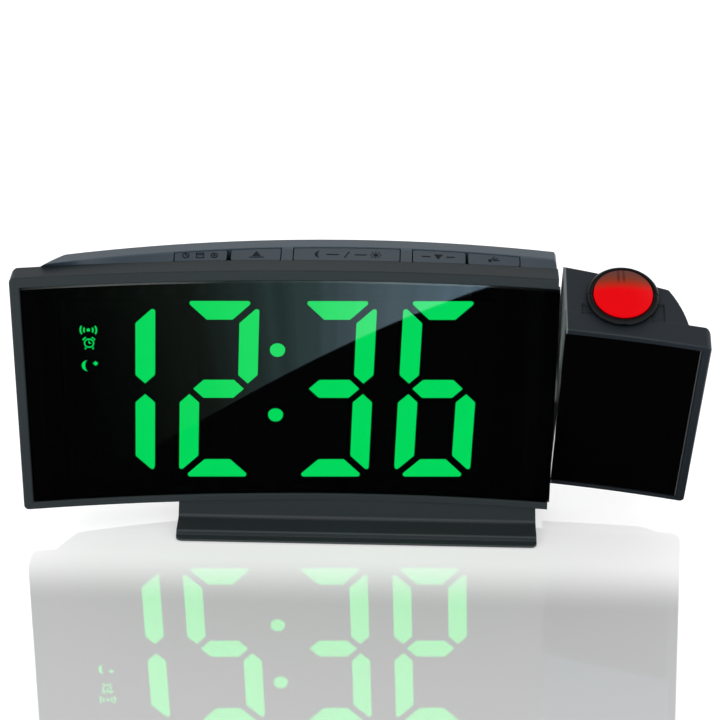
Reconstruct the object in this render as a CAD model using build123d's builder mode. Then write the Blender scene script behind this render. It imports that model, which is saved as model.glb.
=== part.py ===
"""Projection alarm clock: a hollow-curved digital clock with a tilting projector head.

Row frame: X to the clock's left-to-right as its user sees it, Y from the face to the back, Z up.
The origin lies on the resting plane, under the middle of the whole clock.  Millimetres throughout.
The projector head is modelled in its own plane, turned about the swivel by the head's resting tilt.
"""
import os
from math import atan2, cos, radians, sin, sqrt, tan

from build123d import *

# ------------------------------------------------------------------ overall form
overall_width = 208.0        # left end of the clock body to right end of the projector head
overall_depth = 36.0         # plane through the ends of the face to the crown of the back
origin_depth = 15.1          # plane through the ends of the face to the origin
body_height = 81.0
foot_height = 10.0           # resting plane to the underside of the body
joint_x = 60.4               # right end of the clock body
face_radius = 590.0          # plan radius of the hollow face, shared by body and head
back_radius = 300.0          # plan radius of the rounded back, shared by body and head
wall = 2.0

# ------------------------------------------------------------------ swivel
swivel_gap = 0.8             # between body and head
axis_depth = 17.2            # swivel axis behind the plane through the ends of the face
axis_height = 40.5           # swivel axis above the underside of the body
head_tilt = 24.4             # forward tilt of the head at rest, degrees
shaft_radius = 4.3
shaft_bore = 2.6
shaft_reach = 8.0            # shaft inside the body, from the body's right end
running_fit = 0.05           # radial clearance of parts that turn
swivel_boss_radius = 6.6     # bosses round the swivel, let into the backs of both bezels
swivel_pocket_radius = 6.9
bush_radius = 5.2
bush_flange_radius = 6.3
bush_flange = 1.2
washer_radius = 6.6
washer_thickness = 0.5
spring_washer_radius = 6.0
spring_washer_thickness = 0.5
spring_washer_rise = 1.1
clip_radius = 6.2
clip_thickness = 0.8
clip_slot = 3.2
clip_groove = 0.7            # depth of the clip's groove in the shaft
shaft_flange_radius = 7.0
shaft_flange = 2.0
shaft_screw_circle = 5.7

# ------------------------------------------------------------------ face bezel and window
bezel_depth = 7.2
bezel_short = 0.6            # bezel stops this far left of the body's right end
bezel_corner = 1.6
bezel_back_corner = 2.2
bezel_edge = 0.5             # rounding of the bezel's front edges
rim_chamfer = 0.3            # chamfer round the window
rim_top = 3.4
rim_bottom = 2.5
rim_side = 3.0
window_recess = 0.5
window_thickness = 2.0
window_fit = 0.15
window_corner = 0.8
opening_margin = 0.5         # opening round the display's light box
post_radius = 2.6
post_length = 3.6
upper_post_drop = 5.9        # upper posts below the top of the body
lower_post_rise = 7.6        # lower posts above the underside of the body
left_post_inset = 20.0       # upper left post from the left end of the body
tab_inset = 43.7             # lower left post from the left end of the body
right_post_inset = 6.2       # right posts from the right end of the body
tab_half_width = 2.8         # tab under the light box that carries the lower left post
tab_height = 10.4
tab_fit = 0.7

# ------------------------------------------------------------------ rear housing
side_front_inset = 6.4       # left side where it meets the bezel, from the left end of the bezel
side_back_inset = 11.8       # left side where it meets the back
side_lean = 0.4              # how far the side leans in per millimetre of depth, near the bezel
side_bulge = 0.3
side_corner = 1.6
shoulder_drop = 14.0         # start of the sloping back, below the top
shoulder_inset = 6.9         # how far the back leans in at the top
shoulder_side = 1.9
shoulder_end = 0.9           # how far the right end leans in at the top
hem_height = 6.0             # sloping band along the bottom edge
hem_inset = 3.0
hem_side = 1.5
cap_rise = 1.4               # sloping key band above the bezel
cap_front_inset = 12.7       # crease between key band and ridge strip, from the back
cap_back_inset = 7.8         # ridge, from the back
cap_side_front_inset = 9.7   # left end of the ridge strip at its crease, from the left end of the bezel
cap_side_back_inset = 15.2   # left end of the ridge
cap_end = 1.5                # right end of the ridge, from the right end of the body

# ------------------------------------------------------------------ keys
key_front_gap = 0.3          # bezel to the keys
key_back_gap = 0.5           # keys to the ridge crease
key_fit = 0.3
key_sink = 0.15              # top of the keys below the surface round them
key_flange_thickness = 0.8
key_flange_depth = 0.7       # flange wider than the key, at the back
key_corner = 0.7
# left and right ends, then how far the flange runs beyond each end
mode_key_span = (-55.9, -40.3, 0.8, 0.4)
up_key_span = (-38.9, -24.0, 0.5, 0.8)
snooze_key_span = (-20.0, 12.1, 0.8, 0.8)
down_key_span = (16.1, 32.0, 0.8, 0.3)
projector_key_span = (32.9, 48.3, 0.3, 0.8)
key_windows = ((-55.9, -24.0), (-20.0, 12.1), (16.1, 48.3))
key_post_xs = (-22.0, 14.1)
key_post_radius = 1.1
key_post_inset = 10.6        # from the back
key_board_thickness = 1.2
key_board_left = -59.0
key_board_right = 49.4
key_board_back_inset = 8.4   # from the back
switch_body = 4.0
switch_height = 1.3
switch_button_radius = 1.2
switch_button_height = 0.4
switch_gap = 0.6             # switch button to the key's flange

# ------------------------------------------------------------------ display
display_setback = 8.4        # front of the light box behind the chord of the face
display_left = 15.1          # from the left end of the chord
display_right = 146.5
display_depth = 5.0
display_margin = 2.1         # light box above and below the digits
flange_thickness = 1.5
flange_left = 11.4
flange_right = 152.0
flange_step = 9.1            # ends of the flange from the top and the bottom of the light box
flange_boss_radius = 1.6
flange_boss_step = 6.3       # bosses from the ends of the flange
flange_boss_inset = 2.0      # bosses from the sides of the flange
led_board_thickness = 1.2
led_board_left = 11.8
led_board_right = 151.6
led_board_step = 4.5         # top of the LED board below the top of the light box
led_board_rise = 6.5         # bottom of the LED board above the bottom of the light box
digit_base = 7.3             # above the underside of the body
digit_headroom = 11.6        # top of the digits to the top of the body
digit_width = 23.9
digit_rights = (41.6, 73.2, 108.9, 140.9)
digit_slant = 2.0            # degrees
bar_thickness = 6.3
stroke_width = 5.95
mitre_gap = 1.7
waist_gap = 1.9
bar_gap = 1.2
middle_rise = 0.6            # middle bar above half the digit's height
tip_radius = 0.75
segment_corner = 0.15
segment_depth = 1.5
segment_fit = 0.08
light_well_step = 0.5        # ledge behind each segment
colon_x = 79.1
colon_drops = (-8.7, 14.2)   # from half the digit's height
colon_radius = 2.32
indicator_x = 22.1
indicator_sizes = ((21.1, 6.4, 3.4), (16.6, 6.4, 5.0), (8.7, 6.4, 4.8))  # above half height, width, tall
led_size = (3.0, 1.6, 0.8)

# ------------------------------------------------------------------ electronics in the body
main_board_left = 11.0
main_board_right = 48.0
main_board_bottom = 8.2
main_board_top = 62.0
main_board_thickness = 1.2
main_board_setback = 22.5
board_post_radius = 2.2
board_posts = ((14.5, 58.5), (44.5, 58.5), (14.5, 12.0))
chip_x = 24.0
chip_height = 44.0           # above the underside of the body
chip_size = 12.0
chip_thickness = 1.4
memory_x = 40.0
memory_height = 48.0
memory_size = (5.0, 4.0)
crystal_height = 31.5
crystal_length = 10.0
crystal_width = 4.0
crystal_thickness = 3.2
capacitor_x = 38.0
capacitor_height = 36.0
capacitor_radius = 2.6
capacitor_length = 5.5
usb_x = 25.5
usb_height = 12.0
usb_width = 14.0
usb_tall = 6.6
usb_shell = 0.6
usb_tongue = 1.8
usb_tongue_width = 11.0
usb_tongue_rise = 1.0        # above the middle of the socket
inlet_x = 42.5
inlet_height = 21.0
inlet_size = 9.0
inlet_bore = 2.9
inlet_pin = 1.05
port_fit = 0.25
sounder_x = -18.0
sounder_clearance = 0.7      # ring of the sounder above the battery bay
sounder_radius = 8.0
sounder_depth = 4.0
sounder_setback = 28.8       # front of the sounder behind the plane of the face's ends
sounder_ring = 1.2
sounder_base = 1.2           # base in front of the sounder
grille_hole = 0.75
grille_rings = ((0.0, 1), (2.6, 6), (5.2, 12))

# ------------------------------------------------------------------ battery bay
bay_left = -42.5
bay_right = 6.5
bay_middle = 38.0            # above the underside of the body
bay_tall = 22.6
bay_wall = 1.0
bay_setback = 19.3           # front wall of the bay behind the plane of the face's ends
cell_radius = 5.15
cell_length = 44.0
cell_nub_radius = 1.8
cell_nub = 1.0
cell_round = 0.4
cell_fit = 0.1
contact_thickness = 0.4
contact_width = 8.0
contact_tall = 8.6
contact_pad = 1.6            # pad of the bent leaf
contact_spring_radius = 2.6
contact_reach = 3.0          # feet of the bent leaf either side of the cell's axis
door_fit = 0.3
door_rim = 1.5
door_thickness = 1.4
door_corner = 1.0
door_notch_width = 14.0      # finger notch
door_notch_tall = 4.0
door_notch_drop = 2.5        # below the top of the bay
door_rib = 1.2
door_rib_x = 12.0            # ribs either side of the door's middle

# ------------------------------------------------------------------ foot
foot_half_width = 56.8
foot_front = -1.1            # front lip, behind the plane of the face's ends
foot_back = 37.6
foot_neck_front = 9.7
foot_neck_back = 28.0
foot_lip_height = 1.2
foot_lip_depth = 2.7
foot_toe_height = 2.9        # step behind the lip
foot_bend = 1.2              # hollow corner where the neck meets the toe
foot_round = 0.6
foot_pad_stand = 0.5
foot_taper = 3.0             # lean of the foot's sides, degrees
foot_corner = 2.0
foot_pocket_wall = 2.0
foot_screw_x = 34.0
foot_screw_depth = 22.6
foot_screw_seat = 5.4        # seat of the screw heads above the resting plane
foot_boss_radius = 3.2
foot_boss_rise = 5.0         # bosses inside the body that take the foot screws
pad_length = 24.0
pad_width = 5.0
pad_recess = 0.5
pad_x = 40.0
pad_depths = (4.5, 33.0)     # behind the plane of the face's ends
pad_fit = 0.2

# ------------------------------------------------------------------ projector head
head_side_front_inset = 6.4  # right side where it meets the bezel, from the right end of the bezel
head_side_back_inset = 11.7
head_side_bulge = 0.7
head_back_round = 1.0
head_bezel_short = 0.4       # bezel stops this far right of the head's left end
side_room = 6.0              # right end of the hollow behind the panel, from the right end of the bezel
shaft_flange_room = 0.7
head_rim_top = 2.2
head_rim_bottom = 1.6
head_rim_side = 2.6
head_post_radius = 2.6
head_post_insets = (36.0, 16.0)   # from the right end of the head
head_post_w = -34.0          # below the swivel axis
head_post_length = 5.0
lens_inset = 25.5            # lens axis from the right end of the head
lens_v = 0.7                 # lens axis behind the swivel axis
ring_radius = 10.8
ring_rise = 2.1
ring_gap = 0.15
ring_inner = 8.75
ring_round = 1.1
ring_edge = 0.5              # rounding of the ring's lower edge
ring_slope = 0.3             # fall of the ring's top towards the lens
ring_notch = 0.6
ring_notch_depth = 0.4
sleeve_radius = 9.0
sleeve_length = 9.0
sleeve_wall = 0.9
sleeve_fit = 0.3
lens_radius = 8.7
lens_seat = 0.6              # underside of the lens above the underside of the ring
lens_proud = 0.35            # edge of the lens above the ring
lens_dome = 1.2
tube_radius = 9.8
tube_bore = 9.05
tube_fit = 0.1
tube_bottom = 4.0            # above the swivel axis
tube_step = 16.0             # diaphragm above the swivel axis
tube_step_thickness = 1.5
tube_lower_radius = 7.4
tube_lower_bore = 6.2
tube_ear_width = 3.2
tube_ear_tall = 5.0
tube_ear = 8.8               # screw ears either side of the lens axis
bulge_radius = 11.2          # rounded back of the head behind the lens tube
bulge_wall = 1.2
bulge_knee = 14.0            # start of the bulge's cone above the swivel axis
bulge_waist = 2.0
bulge_waist_radius = 9.0
bulge_foot = -12.0
screen_size = (13.6, 9.6, 1.2)
screen_window = (10.0, 7.0)
led_radius = 2.5
led_flange_radius = 2.9
led_flange = 1.0
led_straight = 4.2           # start of the LED's dome above its seat
led_tall = 6.6
condenser_radius = 6.1
condenser_edge = 1.0
condenser_dome = 2.2
head_board_left = 67.4
head_board_right = 88.0
head_board_front = -8.0
head_board_back = 3.4
head_board_thickness = 1.6
notch_depth = 0.5
left_notch = (66.3, 70.5, -5.4, -1.3)     # left, right, front, back
right_notch = (86.5, 90.7, -8.0, -1.2)
lead_radius = 1.5
lead_bend = 2.0
lead_turn_x = 50.0
lead_end_x = 46.5
lead_reach = 10.2            # from the swivel axis to the socket behind the main board
plug_left = 71.6
plug_right = 77.6
plug_half_width = 3.5
plug_cover = 0.6             # plug and socket beyond the lead
socket_width = 4.0
socket_gap = 0.15            # end of the lead to its socket on the main board

# ------------------------------------------------------------------ screws
screw_radius = 1.0
screw_head_radius = 2.0
screw_head_height = 1.3
screw_slot_long = 2.2
screw_slot_narrow = 0.5
screw_slot_depth = 0.5
small_screw = 0.6            # scale of the small screws
seat_depth = 3.0             # screw seats below the outside of the back
counterbore = 2.4
screw_hole = 1.2
screw_end_room = 1.0         # end of a housing screw to the bezel's slab
display_screw = 5.2          # lengths under the head
board_screw = 4.5
key_board_screw = 3.5
foot_screw = 10.0
pivot_screw = 3.4
tube_screw = 5.0

# ------------------------------------------------------------------ worked-out places
half_width = overall_width / 2
side_front_x = side_front_inset - half_width
side_back_x = side_back_inset - half_width
cap_side_front_x = cap_side_front_inset - half_width
cap_side_back_x = cap_side_back_inset - half_width
head_side_front_x = half_width - head_side_front_inset
head_side_back_x = half_width - head_side_back_inset
head_post_xs = [half_width - inset for inset in head_post_insets]
lens_x = half_width - lens_inset
body_bottom = foot_height
body_top = body_bottom + body_height
ends_y = -origin_depth
face_centre_y = ends_y - sqrt(face_radius**2 - half_width**2)
back_centre_y = ends_y + overall_depth - back_radius
bezel_right = joint_x - bezel_short
window_bottom = body_bottom + rim_bottom
window_top = body_top - rim_top
window_left = -half_width + rim_side
window_back = window_recess + window_thickness
axis_y = ends_y + axis_depth
axis_z = body_bottom + axis_height
ceiling = body_top - wall
head_left = joint_x + swivel_gap
head_low = body_bottom - axis_z
head_high = body_top - axis_z
tilt = radians(head_tilt)
head = Plane(origin=(0, axis_y, axis_z), x_dir=(1, 0, 0), z_dir=(0, -sin(tilt), cos(tilt)))
tab_x = tab_inset - half_width
right_post_x = joint_x - right_post_inset
upper_post_height = body_height - upper_post_drop
case_posts = (
    (left_post_inset - half_width, upper_post_height),
    (tab_x, lower_post_rise),
    (right_post_x, upper_post_height),
    (right_post_x, lower_post_rise),
)  # x, height above the underside
digit_height = body_height - digit_base - digit_headroom
digit_middle = digit_base + digit_height / 2
display_bottom = digit_base - display_margin
display_top = digit_base + digit_height + display_margin
flange_bottom = display_bottom + flange_step
flange_top = display_top - flange_step
boss_heights = (flange_bottom + flange_boss_step, flange_top - flange_boss_step)
boss_places = (flange_left + flange_boss_inset, flange_right - flange_boss_inset)
flange_bosses = [(u, height) for u in boss_places for height in boss_heights]
led_board_bottom = display_bottom + led_board_rise
led_board_top = display_top - led_board_step
sounder_height = bay_middle + bay_tall / 2 + bay_wall + sounder_clearance + sounder_radius


def arc_y(centre_y, radius, x):
    """Y of a plan arc at x."""
    return centre_y + sqrt(radius**2 - x**2)


def face_point(x, depth=0.0, from_y=0.0):
    """A point on the face, or on a surface a given depth behind it, in plan."""
    return (x, arc_y(face_centre_y, face_radius + depth, x) - from_y)


def back_point(x, inset=0.0, from_y=0.0):
    """A point on the back, or on a surface a given inset in front of it, in plan."""
    return (x, arc_y(back_centre_y, back_radius - inset, x) - from_y)


def plan_arc(point, x1, x2, offset, from_y=0.0):
    """Arc along the face or the back between two x."""
    middle = (x1 + x2) / 2
    return ThreePointArc(point(x1, offset, from_y), point(middle, offset, from_y), point(x2, offset, from_y))


def level(z):
    """Horizontal plane at a height above the resting plane."""
    return Plane.XY.offset(z)


def upright(y):
    """Vertical plane facing the user, at a row y; its own axes are X and Z."""
    return Plane.XZ.offset(-y)


def crossways(x):
    """Vertical plane facing right, at a row x; its own axes are Y and Z."""
    return Plane.YZ.offset(x)


def facing_back(y):
    """Vertical plane facing away from the user, at a row y; its own axes are -X and Z."""
    return Plane(origin=(0, y, 0), x_dir=(-1, 0, 0), z_dir=(0, 1, 0))


def facing_down(z):
    """Horizontal plane facing down, at a height above the resting plane; its own axes are X and -Y."""
    return Plane(origin=(0, 0, z), x_dir=(1, 0, 0), z_dir=(0, 0, -1))


def head_level(w):
    """Plane across the head's height; its own axes are X and the head's depth."""
    return head.offset(w)


def head_upright(v):
    """Plane facing the head's front; its own axes are X and the head's height."""
    return Plane(origin=head.origin + head.y_dir * v, x_dir=head.x_dir, z_dir=-head.y_dir)


def head_crossways(x):
    """Plane facing right; its own axes are the head's depth and height."""
    return Plane(origin=head.origin + head.x_dir * x, x_dir=head.y_dir, z_dir=head.x_dir)


def head_facing_back(v):
    """Plane facing the head's back; its own axes are -X and the head's height."""
    return Plane(origin=head.origin + head.y_dir * v, x_dir=-head.x_dir, z_dir=head.y_dir)


def curved_plan(plane, x1, x2, front, back, from_y=0.0):
    """Plan of a slab between two depths behind the face."""
    with BuildSketch(plane) as plan:
        with BuildLine():
            near = plan_arc(face_point, x1, x2, front, from_y)
            far = plan_arc(face_point, x1, x2, back, from_y)
            Line(near @ 0, far @ 0)
            Line(near @ 1, far @ 1)
        make_face()
    return plan.sketch


def face_to_back_plan(plane, x1, x2, depth, inset, from_y=0.0):
    """Plan between a depth behind the face and an inset from the back, with straight ends."""
    with BuildSketch(plane) as plan:
        with BuildLine():
            near = plan_arc(face_point, x1, x2, depth, from_y)
            far = plan_arc(back_point, x1, x2, inset, from_y)
            Line(near @ 0, far @ 0)
            Line(near @ 1, far @ 1)
        make_face()
    return plan.sketch


def back_plan(plane, x1, x2, inner, outer, from_y=0.0):
    """Plan of a slab between two insets from the back."""
    with BuildSketch(plane) as plan:
        with BuildLine():
            near = plan_arc(back_point, x1, x2, inner, from_y)
            far = plan_arc(back_point, x1, x2, outer, from_y)
            Line(near @ 0, far @ 0)
            Line(near @ 1, far @ 1)
        make_face()
    return plan.sketch


def housing_plan(plane, front_x, back_x, inset, right_x, depth=bezel_depth, front_inset=None):
    """Plan of the housing: hollow front, bulging left side, rounded back, straight right end."""
    with BuildSketch(plane) as plan:
        with BuildLine():
            if front_inset is None:
                front = plan_arc(face_point, front_x, right_x, depth)
            else:
                front = plan_arc(back_point, front_x, right_x, front_inset)
            back = plan_arc(back_point, back_x, right_x, inset)
            Line(front @ 1, back @ 1)
            middle = ((front @ 0) + (back @ 0)) / 2
            ThreePointArc(front @ 0, middle + Vector(-side_bulge, 0, 0), back @ 0)
        make_face()
        corner = plan.vertices().sort_by_distance(plane.origin + Vector(*back_point(back_x, inset)))[0]
        fillet(corner, side_corner)
    return plan.sketch


def body_levels():
    """Height above the resting plane, then insets of the back, the side and the right end, bottom to top."""
    return (
        (body_bottom, hem_inset, hem_side, 0.0),
        (body_bottom + hem_height, 0.0, 0.0, 0.0),
        (body_top - shoulder_drop, 0.0, 0.0, 0.0),
        (body_top, shoulder_inset, shoulder_side, shoulder_end),
    )


def between(levels, z):
    """Insets of the back, the side and the right end at a height between two levels."""
    for low, high in zip(levels, levels[1:]):
        if low[0] <= z <= high[0]:
            share = (z - low[0]) / (high[0] - low[0])
            return [start + share * (end - start) for start, end in zip(low[1:], high[1:])]


def body_sections(shrink, front, bottom, top):
    """Plans of the housing between two heights, shrunk by a wall."""
    levels = body_levels()
    heights = [bottom] + [level_set[0] for level_set in levels if bottom < level_set[0] < top] + [top]
    sections = []
    for z in heights:
        back_inset, side_inset, end_inset = between(levels, z)
        plan = housing_plan(
            level(z),
            side_front_x + side_inset + shrink - (bezel_depth - front) * side_lean,
            side_back_x + side_inset + shrink,
            back_inset + shrink,
            joint_x - end_inset - shrink,
            depth=front,
        )
        sections.append(plan)
    return sections


def cap_sections(rise):
    """Plans of the sloping top: at the bezel's top edge, and at the ridge."""
    base = housing_plan(
        level(body_top + rise),
        side_front_x + shoulder_side,
        side_back_x + shoulder_side,
        shoulder_inset,
        joint_x - shoulder_end,
    )
    ridge = housing_plan(
        level(body_top + cap_rise + rise),
        cap_side_front_x,
        cap_side_back_x,
        cap_back_inset,
        joint_x - cap_end,
        front_inset=cap_front_inset,
    )
    return [base, ridge]


def case_seat(x, height):
    """Row y of the seat of a screw that holds the housing to the bezel."""
    inset = between(body_levels(), body_bottom + height + counterbore)[0]
    return back_point(x, inset + seat_depth)[1]


def add_screws(seat, points, length, scale=1.0):
    """Cross-slotted screws seated on a plane whose normal points towards their heads."""
    with BuildSketch(seat) as heads:
        with Locations(*points):
            Circle(screw_head_radius * scale)
    extrude(heads.sketch, amount=screw_head_height * scale)
    with BuildSketch(seat) as shanks:
        with Locations(*points):
            Circle(screw_radius * scale)
    extrude(shanks.sketch, amount=-length)
    with BuildSketch(seat.offset(screw_head_height * scale)) as slots:
        with Locations(*points):
            Rectangle(screw_slot_long * scale, screw_slot_narrow * scale)
            Rectangle(screw_slot_narrow * scale, screw_slot_long * scale)
    extrude(slots.sketch, amount=-screw_slot_depth * scale, mode=Mode.SUBTRACT)


os.makedirs("parts", exist_ok=True)

# the display stands on the chord of the body's part of the face
chord_start = Vector(*face_point(-half_width))
chord_end = Vector(*face_point(joint_x))
chord_angle = atan2(chord_end.Y - chord_start.Y, chord_end.X - chord_start.X)
chord_x = Vector(cos(chord_angle), sin(chord_angle), 0)
chord_back = Vector(-sin(chord_angle), cos(chord_angle), 0)


def display_plane(setback):
    """Plane of the display facing the user; its own axes are the chord and height above the body."""
    origin = chord_start + chord_back * setback + Vector(0, 0, body_bottom)
    return Plane(origin=origin, x_dir=chord_x, z_dir=-chord_back)


def on_window_rim(edge):
    """Whether an edge lies on the face, where the seat of the window opens."""
    middle = edge @ 0.5
    on_face = abs(middle.Y - face_point(middle.X)[1]) < rim_chamfer / 10
    inside = window_bottom - rim_chamfer / 10 < middle.Z < window_top + rim_chamfer / 10
    return on_face and inside and edge.length > body_height / 2 and middle.X < bezel_right - 1


# ================================================================== front bezel
with BuildPart() as front_bezel:
    slab = curved_plan(level(body_bottom), -half_width, bezel_right, 0, bezel_depth)
    extrude(slab, amount=body_height)
    left_end = front_bezel.faces().sort_by(Axis.X)[0]
    fillet(left_end.edges().filter_by(Axis.Z).sort_by(Axis.Y)[-1], bezel_back_corner)
    with BuildSketch(upright(overall_depth)) as outline:
        with Locations(((bezel_right - half_width) / 2, body_bottom + body_height / 2)):
            Rectangle(half_width + bezel_right, body_height)
        fillet(outline.vertices().group_by(Axis.X)[0], bezel_corner)
    extrude(amount=2 * overall_depth, mode=Mode.INTERSECT)
    front = front_bezel.faces().sort_by(SortBy.AREA)[-2:].sort_by(Axis.Y)[0]
    fillet(front.edges().sort_by(Axis.X)[:-1], bezel_edge)
    # seat of the window, open at the right end
    seat = curved_plan(level(window_bottom), window_left, joint_x + wall, -wall, window_back)
    extrude(seat, amount=window_top - window_bottom, mode=Mode.SUBTRACT)
    seat_edges = front_bezel.faces().filter_by(lambda face: face.center().Y < face_point(0)[1]).edges()
    chamfer(seat_edges.filter_by(on_window_rim), rim_chamfer)
    # opening for the display
    opening_left = (chord_start + chord_x * display_left).X - opening_margin
    opening_right = (chord_start + chord_x * display_right).X + opening_margin
    opening_low = body_bottom + display_bottom - opening_margin
    opening_tall = display_top - display_bottom + 2 * opening_margin
    opening = curved_plan(level(opening_low), opening_left, opening_right, 0, 2 * bezel_depth)
    extrude(opening, amount=opening_tall, mode=Mode.SUBTRACT)
    tab_left = tab_x - tab_half_width
    tab = curved_plan(level(window_bottom), tab_left, tab_x + tab_half_width, window_back, bezel_depth)
    extrude(tab, amount=body_bottom + tab_height - window_bottom)
    # posts that take the housing screws
    for post_x, height in case_posts:
        post_end = face_point(post_x, bezel_depth)[1] + post_length
        with BuildSketch(upright(post_end)):
            with Locations((post_x, body_bottom + height)):
                Circle(post_radius)
        extrude(amount=post_length + bezel_depth / 2)
        with BuildSketch(upright(post_end)):
            with Locations((post_x, body_bottom + height)):
                Circle(screw_radius)
        extrude(amount=post_length + 1, mode=Mode.SUBTRACT)
    # bosses that take the display's screws
    with BuildSketch(display_plane(display_setback + display_depth - flange_thickness)):
        with Locations(*flange_bosses):
            Circle(flange_boss_radius)
            Circle(screw_radius, mode=Mode.SUBTRACT)
    extrude(amount=bezel_depth)
    # pocket in the back for the swivel boss
    with BuildSketch(crossways(bezel_right + wall)):
        with Locations((axis_y, axis_z)):
            Circle(swivel_pocket_radius)
    extrude(amount=-(shaft_reach + 2 * wall), mode=Mode.SUBTRACT)
front_bezel.part.label = "front_bezel"
export_step(front_bezel.part, "parts/front_bezel.step")

# ================================================================== display window
with BuildPart() as display_window:
    pane_left = window_left + window_fit
    pane = curved_plan(level(window_bottom + window_fit), pane_left, joint_x, window_recess, window_back)
    extrude(pane, amount=window_top - window_bottom - 2 * window_fit)
    pane_end = display_window.faces().sort_by(Axis.X)[0]
    fillet(pane_end.edges().filter_by(Axis.Y), window_corner)
display_window.part.label = "display_window"
export_step(display_window.part, "parts/display_window.step")

# ================================================================== rear housing
bay_front_y = ends_y + bay_setback
bay_low = body_bottom + bay_middle - bay_tall / 2
bay_high = body_bottom + bay_middle + bay_tall / 2
board_y = ends_y + main_board_setback
key_post_y = {x: back_point(x, key_post_inset)[1] for x in key_post_xs}
key_flange_top = ceiling - key_fit
key_flange_low = key_flange_top - key_flange_thickness
key_board_top = key_flange_low - switch_gap - switch_button_height - switch_height

# hollow of the housing, less the posts and walls that stand in it
with BuildPart() as housing_hollow:
    loft(sections=body_sections(wall, bezel_depth - wall, body_bottom + wall, ceiling), ruled=True)
    # posts behind the four housing screws
    for post_x, height in case_posts:
        with BuildSketch(upright(face_point(post_x, bezel_depth)[1] + post_length)):
            with Locations((post_x, body_bottom + height)):
                Circle(post_radius)
        extrude(amount=-overall_depth, mode=Mode.SUBTRACT)
    # posts that carry the main board
    with BuildSketch(upright(board_y + main_board_thickness)):
        with Locations(*[(x, body_bottom + height) for x, height in board_posts]):
            Circle(board_post_radius)
    extrude(amount=-overall_depth, mode=Mode.SUBTRACT)
    # posts that hang from the ceiling and carry the key board
    with BuildSketch(level(key_board_top)):
        with Locations(*[(x, key_post_y[x]) for x in key_post_xs]):
            Circle(key_post_radius)
    extrude(amount=wall + body_height, mode=Mode.SUBTRACT)
    # walls of the battery bay
    with BuildSketch(upright(bay_front_y)):
        with Locations(((bay_left + bay_right) / 2, body_bottom + bay_middle)):
            Rectangle(bay_right - bay_left + 2 * bay_wall, bay_tall + 2 * bay_wall)
    extrude(amount=-overall_depth, mode=Mode.SUBTRACT)
    # ring around the sounder, with a seat behind it
    with BuildSketch(upright(ends_y + sounder_setback)):
        with Locations((sounder_x, body_bottom + sounder_height)):
            Circle(sounder_radius + port_fit + bay_wall)
            Circle(sounder_radius + port_fit, mode=Mode.SUBTRACT)
    extrude(amount=-overall_depth, mode=Mode.SUBTRACT)
    with BuildSketch(upright(ends_y + sounder_setback + sounder_depth)):
        with Locations((sounder_x, body_bottom + sounder_height)):
            Circle(sounder_radius + port_fit + bay_wall)
            Circle(sounder_radius - sounder_ring, mode=Mode.SUBTRACT)
    extrude(amount=-overall_depth, mode=Mode.SUBTRACT)
    # bosses over the foot screws
    with BuildSketch(level(body_bottom)):
        with Locations((-foot_screw_x, ends_y + foot_screw_depth), (foot_screw_x, ends_y + foot_screw_depth)):
            Circle(foot_boss_radius)
    extrude(amount=wall + foot_boss_rise, mode=Mode.SUBTRACT)

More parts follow.
